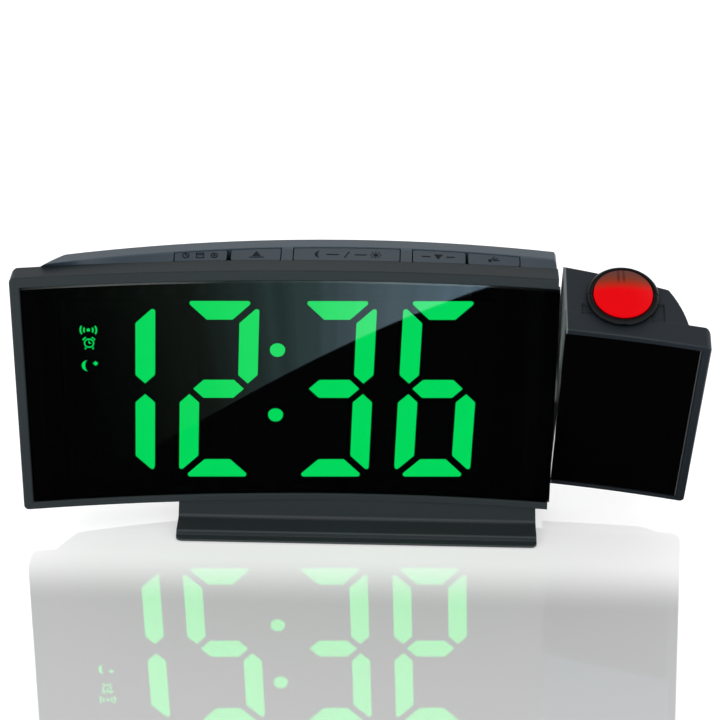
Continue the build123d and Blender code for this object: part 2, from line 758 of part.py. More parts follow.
with BuildPart() as rear_housing:
    loft(sections=body_sections(0.0, bezel_depth - wall / 2, body_bottom, body_top), ruled=True)
    bezel_room = curved_plan(level(body_bottom), -half_width, joint_x, -wall, bezel_depth)
    extrude(bezel_room, amount=body_height, mode=Mode.SUBTRACT)
    loft(sections=cap_sections(0.0), ruled=True)
    add(housing_hollow.part, mode=Mode.SUBTRACT)
    # inside of the battery bay and the seat of its door
    with BuildSketch(upright(bay_front_y + bay_wall)):
        with Locations(((bay_left + bay_right) / 2, body_bottom + bay_middle)):
            Rectangle(bay_right - bay_left, bay_tall)
    extrude(amount=-overall_depth, mode=Mode.SUBTRACT)
    seat = back_plan(
        level(bay_low - door_rim - door_fit),
        bay_left - door_rim - door_fit,
        bay_right + door_rim + door_fit,
        door_thickness + door_fit,
        -wall,
    )
    extrude(seat, amount=bay_tall + 2 * (door_rim + door_fit), mode=Mode.SUBTRACT)
    # windows for the keys
    for left, right in key_windows:
        opening = face_to_back_plan(
            level(ceiling - wall),
            left - key_fit,
            right + key_fit,
            bezel_depth - wall,
            cap_front_inset + key_back_gap - key_fit,
        )
        extrude(opening, amount=3 * wall + cap_rise, mode=Mode.SUBTRACT)
    # screw seats in the back
    for post_x, height in case_posts:
        seat_y = case_seat(post_x, height)
        with BuildSketch(upright(seat_y)):
            with Locations((post_x, body_bottom + height)):
                Circle(counterbore)
        extrude(amount=-overall_depth, mode=Mode.SUBTRACT)
        with BuildSketch(upright(seat_y)):
            with Locations((post_x, body_bottom + height)):
                Circle(screw_hole)
        extrude(amount=overall_depth, mode=Mode.SUBTRACT)
    # grille of the sounder
    for ring_radius_mm, count in grille_rings:
        with BuildSketch(upright(back_point(sounder_x)[1] + wall)):
            with Locations((sounder_x, body_bottom + sounder_height)):
                with PolarLocations(ring_radius_mm, count):
                    Circle(grille_hole)
        extrude(amount=3 * wall, mode=Mode.SUBTRACT)
    # holes for the USB socket and the power inlet
    with BuildSketch(upright(back_point(usb_x)[1] + wall)):
        with Locations((usb_x, body_bottom + usb_height)):
            Rectangle(usb_width + 2 * port_fit, usb_tall + 2 * port_fit)
        with Locations((inlet_x, body_bottom + inlet_height)):
            Rectangle(inlet_size + 2 * port_fit, inlet_size + 2 * port_fit)
    extrude(amount=4 * wall, mode=Mode.SUBTRACT)
    # boss and bore for the swivel bush
    with BuildSketch(crossways(joint_x)):
        with Locations((axis_y, axis_z)):
            Circle(swivel_boss_radius)
    extrude(amount=-wall)
    with BuildSketch(crossways(joint_x)):
        with Locations((axis_y, axis_z)):
            Circle(bush_radius)
    extrude(amount=-2 * wall, mode=Mode.SUBTRACT)
    # holes for the screws of the main board and the key board
    with BuildSketch(upright(board_y + main_board_thickness)):
        with Locations(*[(x, body_bottom + height) for x, height in board_posts]):
            Circle(screw_radius * small_screw)
    extrude(amount=-2 * wall, mode=Mode.SUBTRACT)
    with BuildSketch(level(key_board_top)):
        with Locations(*[(x, key_post_y[x]) for x in key_post_xs]):
            Circle(screw_radius * small_screw)
    extrude(amount=ceiling - key_board_top, mode=Mode.SUBTRACT)
    # holes for the foot screws
    with BuildSketch(level(body_bottom)):
        with Locations((-foot_screw_x, ends_y + foot_screw_depth), (foot_screw_x, ends_y + foot_screw_depth)):
            Circle(screw_radius)
    extrude(amount=wall + foot_boss_rise - 1, mode=Mode.SUBTRACT)
rear_housing.part.label = "rear_housing"
export_step(rear_housing.part, "parts/rear_housing.step")

# ================================================================== keys
# top surface of the keys, a little below the surface round them
with BuildPart() as key_envelope:
    key_tops = cap_sections(-key_sink)
    loft(sections=key_tops, ruled=True)
    extrude(key_tops[0], amount=-body_height / 4)


def add_key(span):
    """A cap that follows the sloping band, over a flange that keeps it in."""
    left, right, left_lip, right_lip = span
    front_depth = bezel_depth + key_front_gap
    back_inset = cap_front_inset + key_back_gap
    cap = face_to_back_plan(level(key_flange_low), left, right, front_depth, back_inset)
    extrude(cap, amount=body_top + cap_rise + wall - key_flange_low)
    narrow = min(edge.length for edge in edges().filter_by(GeomType.LINE))
    fillet(edges().filter_by(Axis.Z), min(key_corner, narrow / 4))
    add(key_envelope.part, mode=Mode.INTERSECT)
    lip_back = back_inset - key_flange_depth
    lip = face_to_back_plan(level(key_flange_low), left - left_lip, right + right_lip, front_depth, lip_back)
    extrude(lip, amount=key_flange_thickness)


with BuildPart() as mode_key:
    add_key(mode_key_span)
mode_key.part.label = "mode_key"
export_step(mode_key.part, "parts/mode_key.step")

with BuildPart() as up_key:
    add_key(up_key_span)
up_key.part.label = "up_key"
export_step(up_key.part, "parts/up_key.step")

with BuildPart() as snooze_key:
    add_key(snooze_key_span)
snooze_key.part.label = "snooze_key"
export_step(snooze_key.part, "parts/snooze_key.step")

with BuildPart() as down_key:
    add_key(down_key_span)
down_key.part.label = "down_key"
export_step(down_key.part, "parts/down_key.step")

with BuildPart() as projector_key:
    add_key(projector_key_span)
projector_key.part.label = "projector_key"
export_step(projector_key.part, "parts/projector_key.step")

# ================================================================== key board and its switches
key_board_low = key_board_top - key_board_thickness
with BuildPart() as key_board:
    board_front = bezel_depth + key_front_gap
    outline = face_to_back_plan(
        level(key_board_low), key_board_left, key_board_right, board_front, key_board_back_inset
    )
    extrude(outline, amount=key_board_thickness)
    with BuildSketch(level(key_board_low)):
        with Locations(*[(x, key_post_y[x]) for x in key_post_xs]):
            Circle(screw_hole)
    extrude(amount=key_board_thickness, mode=Mode.SUBTRACT)
key_board.part.label = "key_board"
export_step(key_board.part, "parts/key_board.step")

key_centres = []
for left, right, _, _ in (mode_key_span, up_key_span, snooze_key_span, down_key_span, projector_key_span):
    middle = (left + right) / 2
    front_y = face_point(middle, bezel_depth + key_front_gap)[1]
    back_y = back_point(middle, cap_front_inset + key_back_gap)[1]
    key_centres.append((middle, (front_y + back_y) / 2))

with BuildPart() as key_switches:
    with BuildSketch(level(key_board_top)):
        with Locations(*key_centres):
            Rectangle(switch_body, switch_body)
    extrude(amount=switch_height)
    with BuildSketch(level(key_board_top + switch_height)):
        with Locations(*key_centres):
            Circle(switch_button_radius)
    extrude(amount=switch_button_height)
key_switches.part.label = "key_switches"
export_step(key_switches.part, "parts/key_switches.step")

# ================================================================== display
display_front = display_setback
display_back = display_setback + display_depth


def digit_outlines(right_edge, upper_left=True):
    """Corners and corner radii of a digit's segments by name, slanted about half the digit's height."""
    left_edge = right_edge - digit_width
    high = digit_height
    wide = digit_width
    half = high / 2
    bar = bar_thickness
    stroke = stroke_width
    gap = mitre_gap
    inner = stroke / 2 + bar_gap
    waist = waist_gap + stroke / 2
    tip = tip_radius
    soft = segment_corner
    corners = {
        "top": (
            (gap, high, tip),
            (wide - gap, high, tip),
            (wide - gap - bar, high - bar, soft),
            (gap + bar, high - bar, soft),
        ),
        "upper_right": (
            (wide, high - gap, tip),
            (wide, half + middle_rise + waist, soft),
            (wide - stroke / 2, half + middle_rise + waist_gap, soft),
            (wide - stroke, half + middle_rise + waist, soft),
            (wide - stroke, high - stroke - gap, soft),
        ),
        "lower_right": (
            (wide, gap, tip),
            (wide, half + middle_rise - waist, soft),
            (wide - stroke / 2, half + middle_rise - waist_gap, soft),
            (wide - stroke, half + middle_rise - waist, soft),
            (wide - stroke, stroke + gap, soft),
        ),
        "middle": (
            (inner, half + middle_rise, soft),
            (inner + bar / 2, half + middle_rise + bar / 2, soft),
            (wide - inner - bar / 2, half + middle_rise + bar / 2, soft),
            (wide - inner, half + middle_rise, soft),
            (wide - inner - bar / 2, half + middle_rise - bar / 2, soft),
            (inner + bar / 2, half + middle_rise - bar / 2, soft),
        ),
    }
    corners["bottom"] = [(x, high - y, radius) for x, y, radius in corners["top"]]
    corners["lower_left"] = [(wide - x, y, radius) for x, y, radius in corners["lower_right"]]
    if upper_left:
        corners["upper_left"] = [(wide - x, y, radius) for x, y, radius in corners["upper_right"]]
    lean = tan(radians(digit_slant))
    return {
        name: [(left_edge + x + (y - half) * lean, digit_base + y, radius) for x, y, radius in points]
        for name, points in corners.items()
    }


digits = [digit_outlines(right, upper_left=right != digit_rights[0]) for right in digit_rights]
lit_names = (
    ("upper_right", "lower_right"),
    ("top", "upper_right", "middle", "lower_left", "bottom"),
    ("top", "upper_right", "middle", "lower_right", "bottom"),
    ("top", "upper_left", "middle", "lower_left", "lower_right", "bottom"),
)
lit_outlines = [digit[name] for digit, names in zip(digits, lit_names) for name in names]
dark_outlines = [
    points for digit, names in zip(digits, lit_names) for name, points in digit.items() if name not in names
]
colon_lean = tan(radians(digit_slant))
colon_points = [(colon_x + drop * colon_lean, digit_middle + drop) for drop in colon_drops]
indicator_points = [(indicator_x, digit_middle + rise) for rise, _, _ in indicator_sizes]


def segment_face(points):
    """Face of one segment, each of its corners rounded by its own radius."""
    corners = [(x, y) for x, y, _ in points]
    radii = [radius for _, _, radius in points]
    outline = FilletPolyline(*corners, radius=radii, close=True)
    return make_face(outline.edges())


lit_faces = [segment_face(points) for points in lit_outlines]
dark_faces = [segment_face(points) for points in dark_outlines]


def draw_segments(faces, growth):
    """Segments of the current sketch, each grown by an amount."""
    for face in faces:
        if growth:
            offset(face, amount=growth, kind=Kind.INTERSECTION, mode=Mode.ADD)
        else:
            add(face)


def draw_indicators(growth):
    """Windows of the small indicators at the left of the display."""
    for place, (_, width, tall) in zip(indicator_points, indicator_sizes):
        with Locations(place):
            Rectangle(width + 2 * growth, tall + 2 * growth)


with BuildPart() as display_frame:
    box_u = (display_left + display_right) / 2
    box_height = (display_bottom + display_top) / 2
    with BuildSketch(display_plane(display_back)):
        with Locations((box_u, box_height)):
            Rectangle(display_right - display_left, display_top - display_bottom)
    extrude(amount=display_depth)
    with BuildSketch(display_plane(display_back)):
        with Locations(((flange_left + flange_right) / 2, (flange_bottom + flange_top) / 2)):
            Rectangle(flange_right - flange_left, flange_top - flange_bottom)
    extrude(amount=flange_thickness)
    with BuildSketch(display_plane(display_back)):
        with Locations((tab_inset, display_bottom)):
            Rectangle(2 * (tab_half_width + tab_fit), 2 * (tab_height + tab_fit - display_bottom))
    extrude(amount=display_depth, mode=Mode.SUBTRACT)
    with BuildSketch(display_plane(display_back)):
        with Locations(*flange_bosses):
            Circle(screw_hole)
    extrude(amount=flange_thickness, mode=Mode.SUBTRACT)
    # seats of the segments, then the light wells behind them
    with BuildSketch(display_plane(display_front)):
        draw_segments(lit_faces + dark_faces, segment_fit)
        draw_indicators(segment_fit)
        with Locations(*colon_points):
            Circle(colon_radius + segment_fit)
    extrude(amount=-segment_depth, mode=Mode.SUBTRACT)
    with BuildSketch(display_plane(display_front)):
        draw_segments(lit_faces + dark_faces, -light_well_step)
        draw_indicators(-light_well_step)
        with Locations(*colon_points):
            Circle(colon_radius - light_well_step)
    extrude(amount=-display_depth, mode=Mode.SUBTRACT)
display_frame.part.label = "display_frame"
export_step(display_frame.part, "parts/display_frame.step")

with BuildPart() as lit_segments:
    with BuildSketch(display_plane(display_front)):
        draw_segments(lit_faces, 0)
        with Locations(*colon_points):
            Circle(colon_radius)
    extrude(amount=-segment_depth)
lit_segments.part.label = "lit_segments"
export_step(lit_segments.part, "parts/lit_segments.step")

with BuildPart() as dark_segments:
    with BuildSketch(display_plane(display_front)):
        draw_segments(dark_faces, 0)
    extrude(amount=-segment_depth)
dark_segments.part.label = "dark_segments"
export_step(dark_segments.part, "parts/dark_segments.step")

with BuildPart() as indicator_lenses:
    with BuildSketch(display_plane(display_front)):
        draw_indicators(0)
    extrude(amount=-segment_depth)
indicator_lenses.part.label = "indicator_lenses"
export_step(indicator_lenses.part, "parts/indicator_lenses.step")

with BuildPart() as led_board:
    with BuildSketch(display_plane(display_back)):
        with Locations(((led_board_left + led_board_right) / 2, (led_board_bottom + led_board_top) / 2)):
            Rectangle(led_board_right - led_board_left, led_board_top - led_board_bottom)
        with Locations(*flange_bosses):
            Circle(screw_hole, mode=Mode.SUBTRACT)
    extrude(amount=-led_board_thickness)
led_board.part.label = "led_board"
export_step(led_board.part, "parts/led_board.step")

led_points = [
    (sum(u for u, _, _ in points) / len(points), sum(height for _, height, _ in points) / len(points))
    for points in lit_outlines + dark_outlines
]
led_points = [point for point in led_points if point[1] > led_board_bottom + led_size[0]]
with BuildPart() as display_leds:
    with BuildSketch(display_plane(display_back)):
        with Locations(*led_points, *colon_points):
            Rectangle(led_size[0], led_size[1])
        with Locations(*indicator_points):
            Rectangle(led_size[0], led_size[1])
    extrude(amount=led_size[2])
display_leds.part.label = "display_leds"
export_step(display_leds.part, "parts/display_leds.step")

# ================================================================== main board, sockets and sounder
board_back_y = board_y + main_board_thickness
with BuildPart() as main_board:
    board_x = (main_board_left + main_board_right) / 2
    board_z = body_bottom + (main_board_bottom + main_board_top) / 2
    with BuildSketch(upright(board_y)):
        with Locations((board_x, board_z)):
            Rectangle(main_board_right - main_board_left, main_board_top - main_board_bottom)
        with Locations(*[(x, body_bottom + height) for x, height in board_posts]):
            Circle(screw_hole, mode=Mode.SUBTRACT)
    extrude(amount=-main_board_thickness)
main_board.part.label = "main_board"
export_step(main_board.part, "parts/main_board.step")

with BuildPart() as board_parts:
    # clock chip, memory chip, quartz crystal and a capacitor on the back of the board
    with BuildSketch(upright(board_back_y)):
        with Locations((chip_x, body_bottom + chip_height)):
            Rectangle(chip_size, chip_size)
        with Locations((memory_x, body_bottom + memory_height)):
            Rectangle(*memory_size)
    extrude(amount=-chip_thickness)
    with BuildSketch(upright(board_back_y)):
        with Locations((chip_x, body_bottom + crystal_height)):
            SlotOverall(crystal_length, crystal_width)
    extrude(amount=-crystal_thickness)
    with BuildSketch(upright(board_back_y)):
        with Locations((capacitor_x, body_bottom + capacitor_height)):
            Circle(capacitor_radius)
    extrude(amount=-capacitor_length)
    # socket of the projector's lead
    with BuildSketch(upright(board_back_y)):
        with Locations((lead_end_x - socket_width / 2 - socket_gap, axis_z)):
            Rectangle(socket_width, 2 * plug_half_width)
    extrude(amount=-(axis_y + lead_reach + lead_radius + plug_cover - board_back_y))
board_parts.part.label = "board_parts"
export_step(board_parts.part, "parts/board_parts.step")

usb_back_y = back_point(usb_x + usb_width / 2)[1] - usb_shell
with BuildPart() as usb_socket:
    with BuildSketch(upright(board_back_y)):
        with Locations((usb_x, body_bottom + usb_height)):
            Rectangle(usb_width, usb_tall)
    extrude(amount=board_back_y - usb_back_y)
    with BuildSketch(upright(usb_back_y)):
        with Locations((usb_x, body_bottom + usb_height)):
            Rectangle(usb_width - 2 * usb_shell, usb_tall - 2 * usb_shell)
    extrude(amount=usb_back_y - board_back_y - 2 * usb_shell, mode=Mode.SUBTRACT)
    with BuildSketch(upright(board_back_y)):
        with Locations((usb_x, body_bottom + usb_height + usb_tongue_rise)):
            Rectangle(usb_tongue_width, usb_tongue)
    extrude(amount=-(usb_back_y - board_back_y - usb_tongue))
usb_socket.part.label = "usb_socket"
export_step(usb_socket.part, "parts/usb_socket.step")

inlet_back_y = back_point(inlet_x + inlet_size / 2)[1] - usb_shell
with BuildPart() as power_inlet:
    with BuildSketch(upright(board_back_y)):
        with Locations((inlet_x, body_bottom + inlet_height)):
            Rectangle(inlet_size, inlet_size)
    extrude(amount=board_back_y - inlet_back_y)
    with BuildSketch(upright(inlet_back_y)):
        with Locations((inlet_x, body_bottom + inlet_height)):
            Circle(inlet_bore)
            Circle(inlet_pin, mode=Mode.SUBTRACT)
    extrude(amount=inlet_back_y - board_back_y - 2 * usb_shell, mode=Mode.SUBTRACT)
power_inlet.part.label = "power_inlet"
export_step(power_inlet.part, "parts/power_inlet.step")

with BuildPart() as sounder:
    with BuildSketch(upright(ends_y + sounder_setback)):
        with Locations((sounder_x, body_bottom + sounder_height)):
            Circle(sounder_radius)
    extrude(amount=-sounder_depth)
    with BuildSketch(upright(ends_y + sounder_setback)):
        with Locations((sounder_x, body_bottom + sounder_height)):
            Circle(sounder_radius / 2)
    extrude(amount=sounder_base)
sounder.part.label = "sounder"
export_step(sounder.part, "parts/sounder.step")

# ================================================================== battery bay
cell_y = bay_front_y + bay_wall + cell_radius + cell_fit
cell_heights = (body_bottom + bay_middle - bay_tall / 4, body_bottom + bay_middle + bay_tall / 4)
cell_left = (bay_left + bay_right - cell_length) / 2
cell_right = cell_left + cell_length
with BuildPart() as battery_cells:
    for height, nub_x, nub_side in ((cell_heights[0], cell_right, 1), (cell_heights[1], cell_left, -1)):
        with BuildSketch(crossways(cell_left)):
            with Locations((cell_y, height)):
                Circle(cell_radius)
        extrude(amount=cell_length)
        with BuildSketch(crossways(nub_x)):
            with Locations((cell_y, height)):
                Circle(cell_nub_radius)
        extrude(amount=nub_side * cell_nub)
    rims = battery_cells.edges().filter_by(GeomType.CIRCLE)
    fillet(rims.filter_by(lambda edge: edge.radius == cell_radius), cell_round)
battery_cells.part.label = "battery_cells"
export_step(battery_cells.part, "parts/battery_cells.step")

with BuildPart() as battery_contacts:
    for height, nub_side in ((cell_heights[0], 1), (cell_heights[1], -1)):
        # plate and dimple at the cell's raised end
        plate_x = bay_right if nub_side > 0 else bay_left
        nub_end = (cell_right if nub_side > 0 else cell_left) + nub_side * cell_nub
        with BuildSketch(crossways(plate_x)):
            with Locations((cell_y, height)):
                Rectangle(contact_width, contact_tall)
        extrude(amount=-nub_side * contact_thickness)
        with BuildSketch(crossways(plate_x)):
            with Locations((cell_y, height)):
                Circle(cell_nub_radius)
        extrude(amount=-nub_side * abs(plate_x - nub_end))
        # plate and bent leaf at the cell's flat end
        flat_x = bay_left if nub_side > 0 else bay_right
        cell_end = cell_left if nub_side > 0 else cell_right
        with BuildSketch(crossways(flat_x)):
            with Locations((cell_y, height)):
                Rectangle(contact_width, contact_tall)
        extrude(amount=nub_side * contact_thickness)
        with BuildSketch(level(height - contact_spring_radius)):
            with BuildLine():
                Polyline(
                    (flat_x, cell_y - contact_reach),
                    (cell_end - nub_side * contact_thickness, cell_y),
                    (flat_x, cell_y + contact_reach),
                    (flat_x, cell_y + contact_reach - 2 * contact_thickness),
                    (cell_end - 3 * nub_side * contact_thickness, cell_y),
                    (flat_x, cell_y - contact_reach + 2 * contact_thickness),
                    close=True,
                )
            make_face()
        extrude(amount=2 * contact_spring_radius)
        with BuildSketch(crossways(cell_end)):
            with Locations((cell_y, height)):
                Rectangle(contact_pad, 2 * contact_spring_radius)
        extrude(amount=-nub_side * 2 * contact_thickness)
battery_contacts.part.label = "battery_contacts"
export_step(battery_contacts.part, "parts/battery_contacts.step")

with BuildPart() as battery_door:
    door_low = bay_low - door_rim
    bay_z = body_bottom + bay_middle
    plate = back_plan(level(door_low), bay_left - door_rim, bay_right + door_rim, door_thickness, 0.0)
    extrude(plate, amount=bay_tall + 2 * door_rim)
    ends = battery_door.edges().filter_by(lambda edge: abs(edge.center().Z - bay_z) > bay_tall / 3)
    fillet(ends.filter_by(lambda edge: edge.length < 2 * door_thickness), door_corner)
    # finger notch at the top of the door
    door_x = (bay_left + bay_right) / 2
    with BuildSketch(upright(back_point(door_x)[1] + wall)):
        with Locations((door_x, bay_high - door_notch_drop)):
            SlotOverall(door_notch_width, door_notch_tall)
    extrude(amount=wall + door_thickness / 2, mode=Mode.SUBTRACT)
    # ribs inside that press the cells down
    with BuildSketch(upright(back_point(door_x)[1] - door_thickness / 2)):
        with Locations((door_x - door_rib_x, bay_z), (door_x + door_rib_x, bay_z)):
            Rectangle(door_rib, bay_tall - 4 * bay_wall)
    extrude(amount=wall)
battery_door.part.label = "battery_door"
export_step(battery_door.part, "parts/battery_door.step")

# ================================================================== foot
foot_screws_y = ends_y + foot_screw_depth
pad_places = [(x, ends_y + depth) for x in (-pad_x, pad_x) for depth in pad_depths]
with BuildPart() as foot:
    lip_y = ends_y + foot_front
    heel_y = ends_y + foot_back
    neck_front_y = ends_y + foot_neck_front
    neck_back_y = ends_y + foot_neck_back
    with BuildSketch(crossways(-foot_half_width)):
        with BuildLine():
            Polyline(
                (neck_back_y, foot_height),
                (neck_front_y, foot_height),
                (neck_front_y, foot_toe_height),
                (lip_y + foot_lip_depth, foot_toe_height),
                (lip_y + foot_lip_depth, foot_lip_height),
                (lip_y, foot_lip_height),
                (lip_y, foot_pad_stand),
                (heel_y, foot_pad_stand),
                (heel_y, foot_lip_height),
                (heel_y - foot_lip_depth, foot_lip_height),
                (heel_y - foot_lip_depth, foot_toe_height),
                (neck_back_y, foot_toe_height),
                close=True,
            )
        make_face()
    extrude(amount=2 * foot_half_width)
    long_edges = foot.edges().filter_by(Axis.X)
    bends = long_edges.filter_by(lambda edge: abs(edge.center().Z - foot_toe_height) < foot_bend / 4)
    bends = bends.sort_by(Axis.Y)
    fillet(bends[1:3], foot_bend)
    fillet([bends[0], bends[3]], foot_round)
    lips = foot.edges().filter_by(Axis.X).group_by(Axis.Z)[1]
    fillet(lips.sort_by(Axis.Y)[0::3], foot_round / 2)
    foot_y = (lip_y + heel_y) / 2
    with BuildSketch(level(0)):
        with Locations((0, foot_y)):
            RectangleRounded(2 * foot_half_width, heel_y - lip_y, foot_corner)
    extrude(amount=foot_height, taper=foot_taper, mode=Mode.INTERSECT)
    # hollow underneath, with bosses round the screws
    with BuildSketch(level(0)):
        with Locations((0, (neck_front_y + neck_back_y) / 2)):
            pocket_length = 2 * (foot_half_width - 2 * foot_pocket_wall)
            Rectangle(pocket_length, neck_back_y - neck_front_y - 2 * foot_pocket_wall)
        with Locations((-foot_screw_x, foot_screws_y), (foot_screw_x, foot_screws_y)):
            Circle(foot_boss_radius, mode=Mode.SUBTRACT)
    extrude(amount=foot_height - foot_pocket_wall, mode=Mode.SUBTRACT)
    with BuildSketch(level(foot_screw_seat)):
        with Locations((-foot_screw_x, foot_screws_y), (foot_screw_x, foot_screws_y)):
            Circle(counterbore)
    extrude(amount=-foot_screw_seat, mode=Mode.SUBTRACT)
    with BuildSketch(level(0)):
        with Locations((-foot_screw_x, foot_screws_y), (foot_screw_x, foot_screws_y)):
            Circle(screw_hole)
    extrude(amount=foot_height, mode=Mode.SUBTRACT)
    # recesses of the pads
    with BuildSketch(level(0)):
        with Locations(*pad_places):
            RectangleRounded(pad_length, pad_width, pad_width / 3)
    extrude(amount=foot_pad_stand + pad_recess, mode=Mode.SUBTRACT)
foot.part.label = "foot"
export_step(foot.part, "parts/foot.step")

with BuildPart() as foot_pads:
    with BuildSketch(level(0)):
        with Locations(*pad_places):
            RectangleRounded(pad_length - 2 * pad_fit, pad_width - 2 * pad_fit, pad_width / 3 - pad_fit)
    extrude(amount=foot_pad_stand + pad_recess)
foot_pads.part.label = "foot_pads"
export_step(foot_pads.part, "parts/foot_pads.step")

# ================================================================== swivel
with BuildPart() as pivot_bush:
    with BuildSketch(crossways(joint_x)):
        with Locations((axis_y, axis_z)):
            Circle(bush_radius)
    extrude(amount=-wall)
    with BuildSketch(crossways(joint_x - wall)):
        with Locations((axis_y, axis_z)):
            Circle(bush_flange_radius)
    extrude(amount=-bush_flange)
    with BuildSketch(crossways(joint_x)):
        with Locations((axis_y, axis_z)):
            Circle(shaft_radius + running_fit)
    extrude(amount=-2 * (wall + bush_flange), mode=Mode.SUBTRACT)
pivot_bush.part.label = "pivot_bush"
export_step(pivot_bush.part, "parts/pivot_bush.step")

spring_x = joint_x - wall - bush_flange - spring_washer_rise
with BuildPart() as friction_spring:
    # coned spring washer, open side against the bush
    with BuildSketch(Plane.XY.offset(axis_z)):
        with BuildLine():
            inner_y = axis_y + shaft_radius + 2 * running_fit
            outer_y = axis_y + spring_washer_radius
            Polyline(
                (spring_x, inner_y),
                (spring_x + spring_washer_rise - spring_washer_thickness, outer_y),
                (spring_x + spring_washer_rise, outer_y),
                (spring_x + spring_washer_thickness, inner_y),
                close=True,
            )
        make_face()
    revolve(axis=Axis((0, axis_y, axis_z), (1, 0, 0)))
friction_spring.part.label = "friction_spring"
export_step(friction_spring.part, "parts/friction_spring.step")

clip_right = spring_x
with BuildPart() as retaining_clip:
    with BuildSketch(crossways(clip_right)):
        with Locations((axis_y, axis_z)):
            Circle(clip_radius)
            Circle(shaft_radius - clip_groove + running_fit, mode=Mode.SUBTRACT)
        with Locations((axis_y, axis_z - clip_radius / 2)):
            Rectangle(clip_slot, clip_radius + clip_thickness, mode=Mode.SUBTRACT)
    extrude(amount=-clip_thickness)
retaining_clip.part.label = "retaining_clip"
export_step(retaining_clip.part, "parts/retaining_clip.step")

flange_x = head_left + wall
with BuildPart() as pivot_shaft:
    with BuildSketch(crossways(joint_x - shaft_reach)):
        with Locations((axis_y, axis_z)):
            Circle(shaft_radius)
    extrude(amount=shaft_reach + swivel_gap + wall)
    with BuildSketch(crossways(flange_x)):
        with Locations((axis_y, axis_z)):
            Circle(shaft_flange_radius)
    extrude(amount=shaft_flange)
    with BuildSketch(crossways(clip_right)):
        with Locations((axis_y, axis_z)):
            Circle(shaft_radius)
            Circle(shaft_radius - clip_groove, mode=Mode.SUBTRACT)
    extrude(amount=-clip_thickness - running_fit, mode=Mode.SUBTRACT)
    with BuildSketch(crossways(joint_x - shaft_reach)):
        with Locations((axis_y, axis_z)):
            Circle(shaft_bore)
    extrude(amount=2 * (shaft_reach + wall), mode=Mode.SUBTRACT)
    with BuildSketch(head_crossways(flange_x)):
        with PolarLocations(shaft_screw_circle, 3, start_angle=90):
            Circle(screw_radius)
    extrude(amount=shaft_flange, mode=Mode.SUBTRACT)
pivot_shaft.part.label = "pivot_shaft"
export_step(pivot_shaft.part, "parts/pivot_shaft.step")

with BuildPart() as swivel_washer:
    with BuildSketch(crossways(head_left)):
        with Locations((axis_y, axis_z)):
            Circle(washer_radius)
            Circle(shaft_radius + 2 * running_fit, mode=Mode.SUBTRACT)
    extrude(amount=-washer_thickness)
swivel_washer.part.label = "swivel_washer"
export_step(swivel_washer.part, "parts/swivel_washer.step")

# ================================================================== projector head
head_slab_v = {x: face_point(x, bezel_depth, axis_y)[1] for x in head_post_xs}
lens_point = head.from_local_coords((lens_x, lens_v, 0))
lens_plane = Plane(origin=lens_point, x_dir=head.x_dir, z_dir=-head.y_dir)
lens_axis = Axis(lens_point, head.z_dir)
panel_back = window_recess + window_thickness
head_bezel_left = head_left + head_bezel_short
deck_under = head_high - wall
lens_hole = sleeve_radius + sleeve_fit


def dome_arc(rim, top):
    """Spherical arc from a rim to the lens axis, in half section."""
    radius, low = rim
    rise = top - low
    sphere = (radius**2 + rise**2) / (2 * abs(rise))
    drop = sphere - sqrt(sphere**2 - (radius / 2) ** 2)
    return ThreePointArc(rim, (radius / 2, top - drop if rise > 0 else top + drop), (0, top))


def head_plan(plane, inset):
    """Plan of the head's shell behind its bezel."""
    right_front = head_side_front_x - inset
    right_back = head_side_back_x - inset
    with BuildSketch(plane) as plan:
        with BuildLine():
            front = plan_arc(face_point, head_left + inset, right_front, bezel_depth, axis_y)
            back = plan_arc(back_point, head_left + inset, right_back, inset, axis_y)
            Line(front @ 0, back @ 0)
            middle = ((front @ 1) + (back @ 1)) / 2
            ThreePointArc(front @ 1, middle + Vector(head_side_bulge, 0, 0), back @ 1)
        make_face()
        corner = plan.vertices().sort_by_distance(plane.from_local_coords(back @ 1))[0]
        fillet(corner, head_back_round)
    return plan.sketch


def bulge_profile(inset):
    """Half section of the bulge behind the lens tube, from the lens axis out."""
    with BuildSketch(lens_plane) as profile:
        with BuildLine():
            Polyline(
                (0, deck_under if inset else head_high),
                (bulge_radius - inset, deck_under if inset else head_high),
                (bulge_radius - inset, bulge_knee),
                (bulge_waist_radius - inset, bulge_waist),
                (0, bulge_foot + inset),
                close=True,
            )
        make_face()
    return profile.sketch


def finger_recesses():
    """Outlines of the finger recesses either side of the focus ring."""
    with BuildSketch(head_level(head_high)) as recesses:
        for left, right, front, back in (left_notch, right_notch):
            with Locations(((left + right) / 2, (front + back) / 2)):
                Rectangle(right - left, back - front)
    return recesses.sketch


